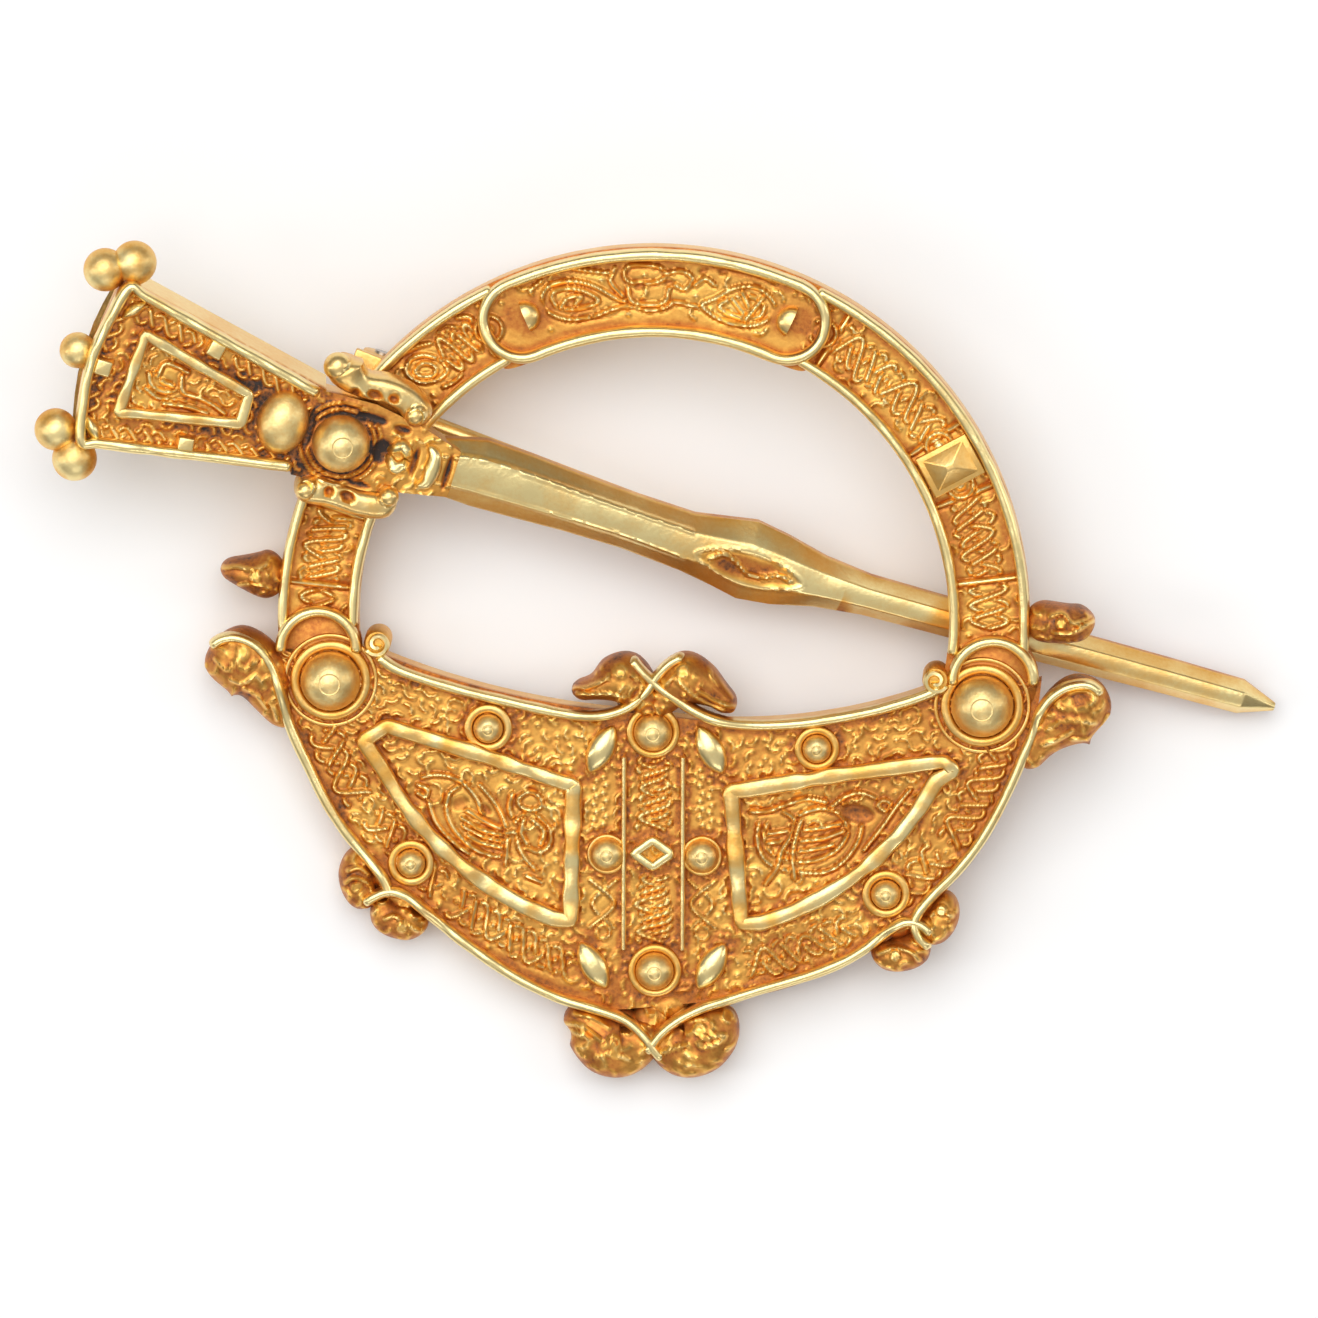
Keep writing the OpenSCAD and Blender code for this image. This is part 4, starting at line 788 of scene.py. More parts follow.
def rib(path, half, base, seed, square=2.6, place=REST, step=0.11, rows=14, tone=0.9, dents=1.0):
    """A rounded, slightly uneven metal rib along rows of (x, y, top)"""
    line = spaced(path, step)
    closed = np.allclose(line[0, :2], line[-1, :2])
    pushed = sizes()[3] * dents
    run = np.linspace(0, 1, len(line))

    def shape(along, wrap):
        x, y, top = (np.interp(along, run, line[:, k]) for k in range(3))
        slope = np.gradient(line[:, :2], axis=0)
        if closed:
            slope[0] = slope[-1] = line[1, :2] - line[-2, :2]
        nx, ny = sideways(slope, run, along)
        long = len(line) * step
        near = np.clip(1 - np.minimum(along, 1 - along) * long / half, 0, 1)
        ends = 1.0 if closed else np.sqrt(np.clip(1 - near**2, 0.02, 1))
        wide = half * ends * (1 + pushed * mottle(along * long, 0, 0.8, seed))
        turn = wrap * math.tau
        c, s = np.cos(turn), np.sin(turn)
        across = wide * squared(c, square)
        tall = (top - base) * (0.35 + 0.65 * ends)
        tall = tall * (1 + 0.6 * pushed * mottle(along * long, across, 0.7, seed + 1))
        z = base + tall * 0.5 * (1 + squared(s, square))
        patchy = 0.1 * dents * mottle(x, y, 0.5, seed + 2) + 0.08 * mottle(x, y, 1.9, seed + 3)
        rubbed = np.clip(tone + 0.12 * s - 0.5 * np.clip(0.25 - s, 0, 0.6) + patchy, 0, 1)
        return np.stack([x + nx * across, y + ny * across, z], 1), rubbed

    return skin(len(line), rows, shape, place)


def mound(rows, base, relief, seed, place=REST, columns=60, wraps=40, full=2.3, tone=0.55):
    """A cast bead along rows of (x, y, half width, height), with its low ornament"""
    path = spaced(rows, 0.05)
    run = np.linspace(0, 1, len(path))
    pushed = sizes()[3]

    def shape(along, wrap):
        share = 0.5 - 0.5 * np.cos(along * math.pi)
        x, y, half, top = (np.interp(share, run, path[:, k]) for k in range(4))
        slope = np.gradient(path[:, :2], axis=0)
        padded = [np.pad(slope[:, k], 12, mode="edge") for k in (0, 1)]
        smooth = np.stack([np.convolve(line, np.ones(25) / 25, "valid") for line in padded], 1)
        nx, ny = sideways(smooth, run, share)
        long = len(path) * 0.05
        near = np.minimum(share, 1 - share) * long
        ends = np.sqrt(np.clip(1 - np.clip(1 - near / half, 0, 1) ** 2, 0.0, 1))
        turn = wrap * math.tau
        c, s = np.cos(turn), np.sin(turn)
        across = half * ends * squared(c, full)
        mid = base + (top - base) * 0.42
        up = (top - mid) * (0.4 + 0.6 * ends) * squared(s, full)
        down = (mid - base) * (0.6 + 0.4 * ends) * squared(s, 4)
        px, py = x + nx * across, y + ny * across
        facing = np.clip(s * 2.2 - 0.5, 0, 1)
        cut = relief.read(relief.height, px, py) * facing
        z = mid + np.where(s > 0, up, down) + cut + facing * 0.4 * pushed * mottle(px, py, 0.6, seed)
        rubbed = np.clip(tone + 0.16 * s + 3.2 * cut + 0.12 * mottle(px, py, 0.5, seed + 1)
                         + 0.1 * mottle(px, py, 1.7, seed + 2), 0.12, 1)
        rubbed = np.where(s < -0.2, 0.5 + 0.1 * mottle(px, py, 0.8, seed + 3), rubbed)
        return np.stack([px, py, z], 1), rubbed

    return skin(columns, wraps, shape, place)


def make_piece(name, meshes, material, stands_for=(), body="brooch"):
    """Joins forms into one piece that rides on a body"""
    bm = bmesh.new()
    for mesh in meshes:
        bm.from_mesh(mesh)
        bpy.data.meshes.remove(mesh)
    joined = finished_mesh(bm, name)
    piece = put_object(name, joined)
    joined.shade_smooth()
    joined.set_sharp_from_angle(angle=math.radians(48))
    joined.materials.append(material)
    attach(piece, body)
    if stands_for:
        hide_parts(*stands_for)
    return piece


def feed(tree, node, inputs):
    """Sets or links a node's inputs by name"""
    for name, value in inputs.items():
        if isinstance(value, bpy.types.NodeSocket):
            tree.links.new(value, node.inputs[name])
        else:
            node.inputs[name].default_value = value
    return node


def new_material(name):
    """A material, its node tree and its shader"""
    material = bpy.data.materials.new(name)
    material.use_nodes = True
    return material, material.node_tree, material.node_tree.nodes["Principled BSDF"]


def noise_fac(tree, scale, detail=2.0, rough=0.5):
    """A noise over the object's own coordinates"""
    where = tree.nodes.new("ShaderNodeTexCoord").outputs["Object"]
    noise = feed(tree, tree.nodes.new("ShaderNodeTexNoise"),
                 {"Vector": where, "Scale": scale, "Detail": detail, "Roughness": rough})
    return noise.outputs["Fac"]


def two_tones(tree, fac, dark, light):
    """A colour between two tones"""
    ramp = feed(tree, tree.nodes.new("ShaderNodeValToRGB"), {"Fac": fac})
    for stop, colour in zip(ramp.color_ramp.elements, (dark, light)):
        stop.color = (*colour, 1)
    return ramp


def patina_group():
    """Shader node group: worn gold from a rubbing value, which on chased faces also carries painted shade,
    with mottling and pitting
    """
    known = bpy.data.node_groups.get("worn_gold")
    if known:
        return known
    finish = bpy.context.scene.brooch_finish
    group = bpy.data.node_groups.new("worn_gold", "ShaderNodeTree")
    for label, value in (("Rubbing", 0.6), ("Mottle Size", 900.0), ("Mottle Amount", 0.3),
                         ("Grain Size", 6000.0), ("Polish Roughness", 0.2), ("Ground Roughness", 0.46)):
        socket = group.interface.new_socket(name=label, in_out="INPUT", socket_type="NodeSocketFloat")
        socket.default_value = value
    group.interface.new_socket(name="Color", in_out="OUTPUT", socket_type="NodeSocketColor")
    for label in ("Roughness", "Metallic", "Height"):
        group.interface.new_socket(name=label, in_out="OUTPUT", socket_type="NodeSocketFloat")
    nodes, links = group.nodes, group.links
    given, out = nodes.new("NodeGroupInput").outputs, nodes.new("NodeGroupOutput")

    def maths(operation, a, b, c=None):
        node = nodes.new("ShaderNodeMath")
        node.operation = operation
        for socket, value in zip(node.inputs, (a, b, c)):
            if value is None:
                continue
            if isinstance(value, (int, float)):
                socket.default_value = value
            else:
                links.new(value, socket)
        return node.outputs[0]

    clouds = noise_fac(group, given["Mottle Size"], 5.0, 0.62)
    shown = maths("MULTIPLY_ADD", maths("SUBTRACT", clouds, 0.5), given["Mottle Amount"], given["Rubbing"])
    grain = noise_fac(group, given["Grain Size"], 3.0, 0.6)
    flecks = maths("MULTIPLY_ADD", maths("SUBTRACT", grain, 0.5), 0.3, shown)
    ramp = nodes.new("ShaderNodeValToRGB")
    links.new(flecks, ramp.inputs["Fac"])
    stops = ramp.color_ramp.elements
    deep, rust, gold, pale = (tuple(c) for c in (finish.pit_colour, finish.rust_colour, finish.gold_colour,
                                                 finish.polish_colour))
    between = tuple(0.55 * g + 0.45 * p for g, p in zip(gold, pale))
    warm = tuple(0.42 * r + 0.58 * g for r, g in zip(rust, gold))
    stops[0].position, stops[0].color = 0.02, (*deep, 1)
    stops[1].position, stops[1].color = 1.0, (*pale, 1)
    for place, colour in ((0.16, rust), (0.34, warm), (0.52, gold), (0.76, between)):
        stop = stops.new(place)
        stop.color = (*colour, 1)
    spread = feed(group, nodes.new("ShaderNodeMapRange"), {
        "Value": flecks, "From Min": 0.15, "From Max": 0.95,
        "To Min": given["Ground Roughness"], "To Max": given["Polish Roughness"]})
    metal = feed(group, nodes.new("ShaderNodeMapRange"), {
        "Value": flecks, "From Min": 0.02, "From Max": 0.3, "To Min": 0.45, "To Max": 1.0})
    height = maths("MULTIPLY_ADD", grain, 0.6, clouds)
    feed(group, out, {"Color": ramp.outputs["Color"], "Roughness": spread.outputs["Result"],
                      "Metallic": metal.outputs["Result"], "Height": height})
    return group


def gold_finish(name, rubbing=None, mottle_size=900.0, mottle_amount=0.3, relief=0.35, polish=1.0):
    """Worn gold material, its rubbing (painted shade included on chased faces) read from the piece or the
    same all over
    """
    known = bpy.data.materials.get(name)
    if known:
        return known
    finish = bpy.context.scene.brooch_finish
    material, tree, shader = new_material(name)
    if rubbing is None:
        read = tree.nodes.new("ShaderNodeAttribute")
        read.attribute_name = "rubbed"
        rubbing = read.outputs["Fac"]
    worn = tree.nodes.new("ShaderNodeGroup")
    worn.node_tree = patina_group()
    feed(tree, worn, {"Rubbing": rubbing, "Mottle Size": mottle_size, "Mottle Amount": mottle_amount,
                      "Grain Size": 6000.0, "Polish Roughness": finish.polish_roughness * polish,
                      "Ground Roughness": finish.ground_roughness})
    bump = feed(tree, tree.nodes.new("ShaderNodeBump"), {
        "Strength": relief, "Distance": 0.00004, "Height": worn.outputs["Height"]})
    feed(tree, shader, {"Base Color": worn.outputs["Color"], "Roughness": worn.outputs["Roughness"],
                        "Metallic": worn.outputs["Metallic"], "Normal": bump.outputs["Normal"]})
    return material


def steel_finish():
    """Plain bright steel of the hinge rivet, with fine scratches"""
    material, tree, shader = new_material("rivet_steel")
    scratch = noise_fac(tree, 5200.0, 4.0)
    tone = two_tones(tree, scratch, (0.34, 0.33, 0.32), (0.62, 0.61, 0.6))
    rough = feed(tree, tree.nodes.new("ShaderNodeMapRange"), {
        "Value": scratch, "To Min": 0.24, "To Max": 0.48})
    feed(tree, shader, {"Metallic": 1.0, "Base Color": tone.outputs["Color"],
                        "Roughness": rough.outputs["Result"]})
    return material


def with_top(points, top):
    """Adds one height to every point of a path"""
    points = np.asarray(points, float)
    return np.column_stack([points[:, :2], np.full(len(points), top)])


def rim_lines():
    """The plate's long rims: they leave the edges and run out over the lugs as ridges"""
    lines = []
    for (first, last), points in RIM_LINES:
        tops = np.full(len(points), PLATE_RIM_TOP)
        tops[:first] = tops[len(points) - last:] = LUG_RIDGE_TOP
        lines.append(np.column_stack([np.array(points, float), tops]))
    return lines


def bar_path(side):
    """Middle line of a side panel's bar frame"""
    if side < 0:
        corners, centre = ((-3, -6.5), (-3.1, -13.15), (-12.15, -5.05), (-11.3, -4.15)), (0.45, -0.1)
    else:
        corners, centre = ((2.95, -6.7), (3.4, -13.2), (12.65, -6.1), (12.35, -5.45)), (1.1, -1.15)
    radius = math.hypot(corners[1][0] - centre[0], corners[1][1] - centre[1])
    start, end = (bearing(centre, corner) % 360 for corner in corners[1:3])
    curve = arc((*centre, radius), start, end, inset=0.3)
    inner = 0.3 * side
    rows = [(corners[0][0] + inner, corners[0][1] - 0.42),
            (corners[1][0] * 0.5 + corners[0][0] * 0.5 + inner, (corners[0][1] + corners[1][1]) / 2),
            (corners[1][0] + inner, corners[1][1] + 0.55)]
    rows += [tuple(p) for p in curve[6:-4:7]]
    rows += [(corners[2][0] - 0.12 * side, corners[2][1] - 0.05),
             (corners[3][0] - 0.25 * side, corners[3][1] - 0.32),
             ((corners[3][0] + corners[0][0]) / 2, (corners[3][1] + corners[0][1]) / 2 - 0.31), rows[0]]
    return with_top(straight(rows, (0.0, 0.12, 0.5, 0.88)), BAR_TOP)


def cartouche_path(inset):
    """Rounded frame over the top of the ring"""
    middle, half = (CARTOUCHE_INNER + RING_OUTER) / 2 - 0.03, (RING_OUTER - CARTOUCHE_INNER) / 2 - inset
    a0, a1 = 90 - CARTOUCHE_HALF, 90 + CARTOUCHE_HALF
    cap0, cap1 = ((middle * c, middle * s, half) for c, s in (heading(a0), heading(a1)))
    rows = [arc((0, 0, middle + half), a0, a1, 0.4)[:-1], arc(cap1, a1, a1 + 180, 0.3)[:-1],
            arc((0, 0, middle - half), a1, a0, 0.4)[:-1], arc(cap0, a0 - 180, a0, 0.3)]
    return np.vstack(rows)


def ring_lines():
    """Long rims of the ring, up to the cartouche and down to the plate"""
    half = sizes()[0]
    outer, inner = RING_OUTER - half, RING_INNER + half
    return [with_top(arc((0, 0, radius), a, b, 0.4), RING_RIM_TOP) for radius, a, b in (
        (outer, -5, 64.2), (outer, 115.8, 182.5), (inner, -6.5, 61.8), (inner, 118.2, 182))]


def lozenge(half_wide, half_tall):
    """Closed outline of the middle strip's lozenge"""
    x, y = LOZENGE
    left = (x - half_wide, y)
    return [left, (x, y + half_tall), (x + half_wide, y), (x, y - half_tall), left]


def chase_face():
    """Draws every strand of the face's ornament"""
    face = Relief((-20.5, -20.0), (20.5, 17.0))
    _, rise, wide, _ = sizes()

    def far(x, y, circle):
        return np.hypot(x - circle[0], y - circle[1])

    def on_plate(x, y):
        edge = 0.45
        left = far(x, y, LOWER_LEFT) < LOWER_LEFT[2] - edge
        right = far(x, y, LOWER_RIGHT) < LOWER_RIGHT[2] - edge
        above_left = far(x, y, UPPER_LEFT) > UPPER_LEFT[2] + edge
        above_right = far(x, y, UPPER_RIGHT) > UPPER_RIGHT[2] + edge
        return np.where(x < 0, left & above_left, right & above_right) & (y < -1.2)

    def in_left_panel(x, y):
        return on_plate(x, y) & (x < -3.7) & (far(x, y, (0.45, -0.1)) < 12.9) & (y < -6.9 - (x + 3) * 0.29)

    def in_right_panel(x, y):
        return on_plate(x, y) & (x > 3.8) & (far(x, y, (1.1, -1.15)) < 11.7) & (y < -7.0 + (x - 3) * 0.13)

    def on_ring(x, y):
        r = np.hypot(x, y)
        return (r > 12.8) & (r < 15.05) & (y > -2.5)

    def on_lugs(x, y):
        found = np.zeros(x.shape, bool)
        for rows in LUGS:
            for lx, ly, half, _ in spaced(rows, 0.4):
                found |= far(x, y, (lx, ly)) < half * 0.9
        return found

    for strands, width, height in ((LEFT_BEAST + RIGHT_BEAST, 1.15, 1.35), (CARTOUCHE_STRANDS, 1.05, 1.2),
                                   (RING_BEASTS, 1.05, 1.15)):
        for strand in strands:
            face.strand(strand, wide * width, rise * height)
    for pit in FACE_PITS:
        face.pit(*pit)
    for circle, a, b, inset in BORDER_BRAIDS:
        long = abs(b - a) * math.pi / 180 * circle[2]
        face.braid(arc(circle, a, b, inset=inset), 0.6, round(long / 1.05), wide * 1.1, rise * 1.2, 3)

    # Middle strip: knots above and below the lozenge
    for top, bottom in ((-5.75, -8.75), (-10.75, -13.5)):
        face.braid(((0, top), (0, bottom)), 0.62, 5, wide * 1.1, rise * 1.2, 3)
    for side in (-1, 1):
        for k in range(8):
            face.bead(side * (1.95 + 0.12 * (k % 2)), -6.25 - 0.33 * k, 0.13, rise)
            face.bead(side * (2.45 - 0.1 * (k % 2)), -6.4 - 0.33 * k, 0.12, rise)
        face.strand(((side * 1.5, -10.9), (side * 2.5, -11.9), (side * 1.6, -12.9)), wide, rise)
        face.strand(((side * 2.6, -10.9), (side * 1.6, -11.9), (side * 2.6, -12.9)), wide, rise)
        face.ring(side * 2.05, -13.1, 0.28, wide * 0.8, rise)

    # The ring's panels
    for a, b, waves, strands in RING_BRAIDS:
        face.braid(arc((0, 0, BAND_MIDDLE), a, b), 0.72, waves, wide * 1.1, rise * 1.15, strands)
    for c, s in map(heading, RING_UPRIGHTS):
        face.strand(((12.75 * c, 12.75 * s), (15.1 * c, 15.1 * s)), wide * 1.3, rise * 1.6)
    for c, s in map(heading, RING_CIRCLES):
        face.ring(BAND_MIDDLE * c, BAND_MIDDLE * s, 0.55, wide, rise * 1.2)
        face.bead(BAND_MIDDLE * c, BAND_MIDDLE * s, 0.24, rise * 1.6)

    # Beast heads on the lugs
    for line in HEAD_LINES:
        face.strand(line, wide * 1.1, rise * 1.2)
    for x, y, radius in HEAD_EYES:
        face.ring(x, y, radius, wide * 0.8, rise * 1.1)
        face.bead(x, y, radius * 0.5, rise * 1.3)

    # Clear ground round the cartouche's half-round bosses, with painted shade round each
    for angle, _ in HALF_BOSSES:
        x, y = (HALF_BOSS_RADIUS * part for part in heading(angle))
        where, gap = face.window(x, y, 1.1)
        face.height[where][gap < 0.95] = 0.0
        face.used[where] |= gap < 0.95
        face.shade(((x - 0.2, y), (x + 0.2, y)), 1.15, 0.8)

    # Painted shade, with the rust patina it stands for, beside rims, bars, uprights and collars
    for path in rim_lines() + ring_lines() + [cartouche_path(0.25), bar_path(-1), bar_path(1)]:
        face.shade(path, 0.62)
    for x, y, radius in (LEFT_TERMINAL, RIGHT_TERMINAL):
        face.shade(arc((x, y, radius - 0.2), 0, 180), 0.6)
    for x in UPRIGHTS:
        face.shade([(x, y) for y in UPRIGHT_ENDS], 0.4)
    for _, x, y, _, collar in STUDS:
        face.shade(arc((x, y, collar), 0, 360), 0.45)
    for x, y, turn in LEAF_BOSSES:
        c, s = heading(turn)
        face.shade(((x - c, y - s), (x + c, y + s)), 0.85)
    face.shade(lozenge(1, 0.76), 0.45)
    for inside, spacing, width, height, seed in (
            (on_lugs, 0.3, 0.9, 1.1, 20), (in_left_panel, 0.3, 0.85, 0.9, 21),
            (in_right_panel, 0.3, 0.85, 0.9, 22), (on_plate, 0.28, 0.85, 0.95, 23),
            (on_ring, 0.3, 0.85, 0.9, 24)):
        face.fill(inside, spacing, wide * width, rise * height, seed)
    face.settle(0.14)
    return face


def chase_pin():
    """Draws the ornament of the pin's head, neck and shaft, in the pin's frame"""
    pin = Relief((-13.0, -5.6), (42.0, 6.0))
    _, rise, wide, _ = sizes()
    for strand in PIN_STRANDS:
        pin.strand(strand, wide * 1.15, rise * 1.2)
    for start, end, swing, waves in HEAD_BRAIDS:
        pin.braid((start, end), swing, waves, wide, rise)
    for k in range(9):
        pin.bead(-8.72 + 0.5 * k, -2.3 + 0.07 * k, 0.11, rise)
    # Shaft: a line down each shoulder, a sunk lozenge with a scroll in the swell
    for side in (-1, 1):
        pin.strand([(u, v + side * w * 0.5) for u, v, w, _, _ in SHAFT[:6]], wide * 0.8, rise * 0.7)
    pin.pit(17.9, -0.43, 2.3, 0.66, 0, 0.17)
    scroll = ((16.2, -0.45), (16.7, -0.15), (17.3, -0.3), (17.9, -0.65), (18.6, -0.6), (19.2, -0.35),
              (19.7, -0.45))
    pin.strand(scroll, wide * 0.9, 0.05, groove=False)
    outline = ((15.5, -0.43), (17.9, 0.33), (20.3, -0.43), (17.9, -1.19), (15.5, -0.43))
    pin.strand(outline, wide * 0.8, rise * 0.35)
    # Neck: rings round the boss, dark cells and volutes beside it
    for radius in (1.42, 1.68):
        pin.ring(0, 0, radius, wide * 0.8, rise)
    for pit in NECK_PITS:
        pin.pit(*pit)
    for u, v, radius, height in VOLUTES:
        pin.ring(u, v, radius, wide, rise * height)
    # Painted shade, with its rust patina, beside the head's frames and round the neck boss and the oval boss
    for path in (HEAD_BARS + HEAD_BARS[:1], (HEAD_TL, HEAD_TR, HEAD_BR, HEAD_BL, HEAD_TL)):
        for a, b in zip(path, path[1:]):
            pin.shade((a, b), 0.65, 0.6)
    pin.shade(arc((0, 0, NECK_BOSS_RADIUS), 0, 360), 0.5, 0.5)
    pin.shade(arc((*OVAL_BOSS, 1.2), 0, 360), 0.6, 0.6)
    pin.fill(lambda u, v: (u > -10.6) & (u < -1.2) & (np.abs(v - 0.2) < 3.4), 0.26, wide * 0.85,
             rise * 0.95, 31)
    pin.fill(lambda u, v: (u > 0) & (u < 4.6) & (np.abs(v) < 1.7), 0.34, wide * 0.85, rise * 0.8, 32)
    pin.settle(0.06)
    return pin


# The face's and the pin's ornament, once drawn
ORNAMENT = {}


def ornament(which):
    """The face's or the pin's ornament, drawn once"""
    if which not in ORNAMENT:
        ORNAMENT[which] = chase_face() if which == "face" else chase_pin()
    return ORNAMENT[which]


def plate_body():
    """Crescent plate with its sunk, chased ground"""
    low_left = arc(LOWER_LEFT, 191.2, bearing(LOWER_LEFT, (0, -16.77)) % 360, 0.2)
    low_right = arc(LOWER_RIGHT, bearing(LOWER_RIGHT, (0, -16.02)), -5.1, 0.2)
    lower = spaced(np.vstack([low_left[:-9], low_right[9:]]), 0.06)
    up_left = arc(UPPER_LEFT, bearing(UPPER_LEFT, (-11.75, -1.28)), bearing(UPPER_LEFT, (0, -3.92)), 0.2)
    up_right = arc(UPPER_RIGHT, bearing(UPPER_RIGHT, (0, -3.95)), bearing(UPPER_RIGHT, (12.3, -2.42)), 0.2)
    ends = [(-16.0, -1.3), (-13.8, -1.28)], [(14.2, -2.42), (16.0, -2.45)]
    upper = spaced(np.vstack([ends[0], up_left, up_right, ends[1]]), 0.06)

    def shape(along, wrap):
        across, level = around(wrap, PLATE_ROWS)
        lo, up = ([np.interp(along, np.linspace(0, 1, len(edge)), edge[:, k]) for k in (0, 1)]
                  for edge in (lower, upper))
        x, y = (a + (b - a) * across for a, b in zip(lo, up))
        return chased_slab(x, y, level, PLATE_GROUND, 41)

    return slab(bpy.context.scene.brooch_sizes.columns, PLATE_ROWS, shape)


def ring_body():
    """Flat ring with a chased band, wider where the cartouche stands on it"""

    def shape(along, wrap):
        across, level = around(wrap, RING_ROWS)
        angle = -11 + 201 * along
        bulge = np.clip(1 - (np.clip(np.abs(angle - 90) - CARTOUCHE_HALF, 0, 99) / 7.2) ** 2, 0, 1) ** 0.5
        inner = RING_INNER - (RING_INNER - CARTOUCHE_INNER) * bulge
        radius = inner + (RING_OUTER - inner) * across
        x, y = radius * np.cos(np.radians(angle)), radius * np.sin(np.radians(angle))
        return chased_slab(x, y, level, RING_GROUND, 42, 0.06, 0.62)

    return slab(860, RING_ROWS, shape)


def dome_profile(radius, base=0.0):
    """Dome with a small polished button, for studs"""
    rows = [(radius * 0.98, base - 0.12), (radius, base), (radius, base + 0.1)]
    rows += round_profile(radius, 8, 69, 6, base + 0.1)
    tip, z = radius * 0.36, base + 0.1 + radius * 0.93
    rows += [(tip * 1.02, z), (tip * 0.98, z + 0.03), (tip * 0.9, z + 0.02), (tip * 0.82, z + 0.03),
             (tip * 0.6, z + 0.075), (tip * 0.3, z + 0.1), (0, z + 0.11)]
    return rows


class OBJECT_OT_brooch_plate(bpy.types.Operator):
    """Terminal plate with its round ends, chased ground, rims, bar frames, uprights and bosses"""

    bl_idname = "object.brooch_plate"
    bl_label = "Terminal plate"

    def execute(self, context):
        half, _, _, _ = sizes()
        gold = gold_finish("cast_gold")
        make_piece("plate_ground", [plate_body()], gold, ("frame",))
        ends = []
        for x, y, radius in (LEFT_TERMINAL, RIGHT_TERMINAL):
            at = REST @ Matrix.Translation((x, y, 0))
            disc = [(0, 0.09), (radius - 0.04, 0.09), (radius, PLATE_GROUND - 0.05),
                    (radius - 0.05, PLATE_GROUND), (0, PLATE_GROUND)]
            ends.append(turned(disc, at, 0.2))
            rim = with_top(arc((x, y, radius - half), -8, 188), PLATE_RIM_TOP + 0.02)
            ends.append(rib(rim, half, 1.2, 61))
        make_piece("terminal_ends", ends, gold)
        rims = [rib(path, half, 1.15, 70 + k) for k, path in enumerate(rim_lines())]
        for k, (x, y, turn) in enumerate(CURLS):
            start = 200 if turn > 0 else -20
            spin = np.radians(np.linspace(start, start + 520 * turn, 40))
            size = np.linspace(0.52, 0.08, 40)
            coil = np.stack([x + size * np.cos(spin), y + size * np.sin(spin), np.linspace(2.0, 2.22, 40)], 1)
            rims.append(rib(coil, 0.15, 1.3, 80 + k, step=0.06, rows=10))
            rims.append(turned([(0, 0.02), (0.56, 0.02), (0.56, 1.75), (0.48, 1.9), (0, 1.92)],
                               REST @ Matrix.Translation((x, y, 0)), 0.5, 32))
        make_piece("plate_rims", rims, gold)
        bars = [rib(bar_path(side), 0.34, RING_GROUND, seed, square=3.6, rows=20, tone=0.62, dents=3.0)
                for side, seed in ((-1, 90), (1, 91))]
        for x in UPRIGHTS:
            points = [(x, y) for y in (UPRIGHT_ENDS[0], -9.7, UPRIGHT_ENDS[1])]
            bars.append(rib(with_top(points, 1.8), 0.11, RING_GROUND, 92, tone=0.82))
        make_piece("bar_frames", bars, gold)
        outline = straight(lozenge(0.78, 0.56), (0, 0.15, 0.5, 0.85))
        bosses = [rib(with_top(outline, 1.86), 0.2, RING_GROUND, 95, square=3.2, tone=0.88)]
        for x, y, turn in LEAF_BOSSES:
            rows = leaf_rows(x, y, turn, 1.12, (0.56, 0.42), (2.02, 0.32), 6)
            bosses.append(mound(rows, RING_GROUND, BARE, 97, columns=26, wraps=22, full=2.1, tone=0.9))
        for _, x, y, dome, collar in STUDS:
            mid = (collar + max(dome, collar - 0.2)) / 2
            circle = with_top(arc((x, y, mid - 0.02), 0, 360), 1.68)
            wide = (collar - dome) / 2 + 0.03
            bosses.append(rib(circle, wide, RING_GROUND, 99, rows=12, step=0.09, tone=0.5))
            if collar > 1.5:
                circle = with_top(arc((x, y, collar + 0.28), 0, 360), 1.56)
                bosses.append(rib(circle, 0.1, RING_GROUND, 98, rows=10, tone=0.5))
        make_piece("plate_bosses", bosses, gold)
        return {"FINISHED"}


class OBJECT_OT_brooch_ring(bpy.types.Operator):
    """Flat ring with its chased panels, rims, cartouche, half-round bosses and four-sided boss"""

    bl_idname = "object.brooch_ring"
    bl_label = "Ring"

    def execute(self, context):
        half, _, _, _ = sizes()
        gold = gold_finish("cast_gold")
        make_piece("ring_ground", [ring_body()], gold)
        rims = [rib(path, half, 1.0, 110 + k) for k, path in enumerate(ring_lines())]
        rims.append(rib(with_top(cartouche_path(0.26), 1.95), 0.26, 1.0, 117))
        make_piece("ring_rims", rims, gold)
        bosses = []
        half_round = [(0.66, -0.1), (0.66, 0.1), (0.6, 0.28), (0.46, 0.42), (0.25, 0.5), (0, 0.53)]
        for angle, side in HALF_BOSSES:
            at = (REST @ Matrix.Rotation(math.radians(angle), 4, "Z")
                  @ Matrix.Translation((HALF_BOSS_RADIUS, 0, RING_GROUND + 0.06)))
            bosses.append(turned(half_round, at, 0.85, 32, cut=(0, -side, 0)))
        at = (REST @ Matrix.Rotation(math.radians(SQUARE_BOSS_ANGLE), 4, "Z")
              @ Matrix.Translation((BAND_MIDDLE, 0, RING_GROUND - 0.1)))
        bosses.append(block((2.35, 1.85, 0.42), at, 0.62, 0.07))
        above = at @ Matrix.Translation((0, 0, 0.36))
        bosses.append(block((2.1, 1.6, 0.42), above, lambda co: 0.55 + 0.5 * co.z, 0.05, 0.16))
        make_piece("ring_bosses", bosses, gold)
        return {"FINISHED"}


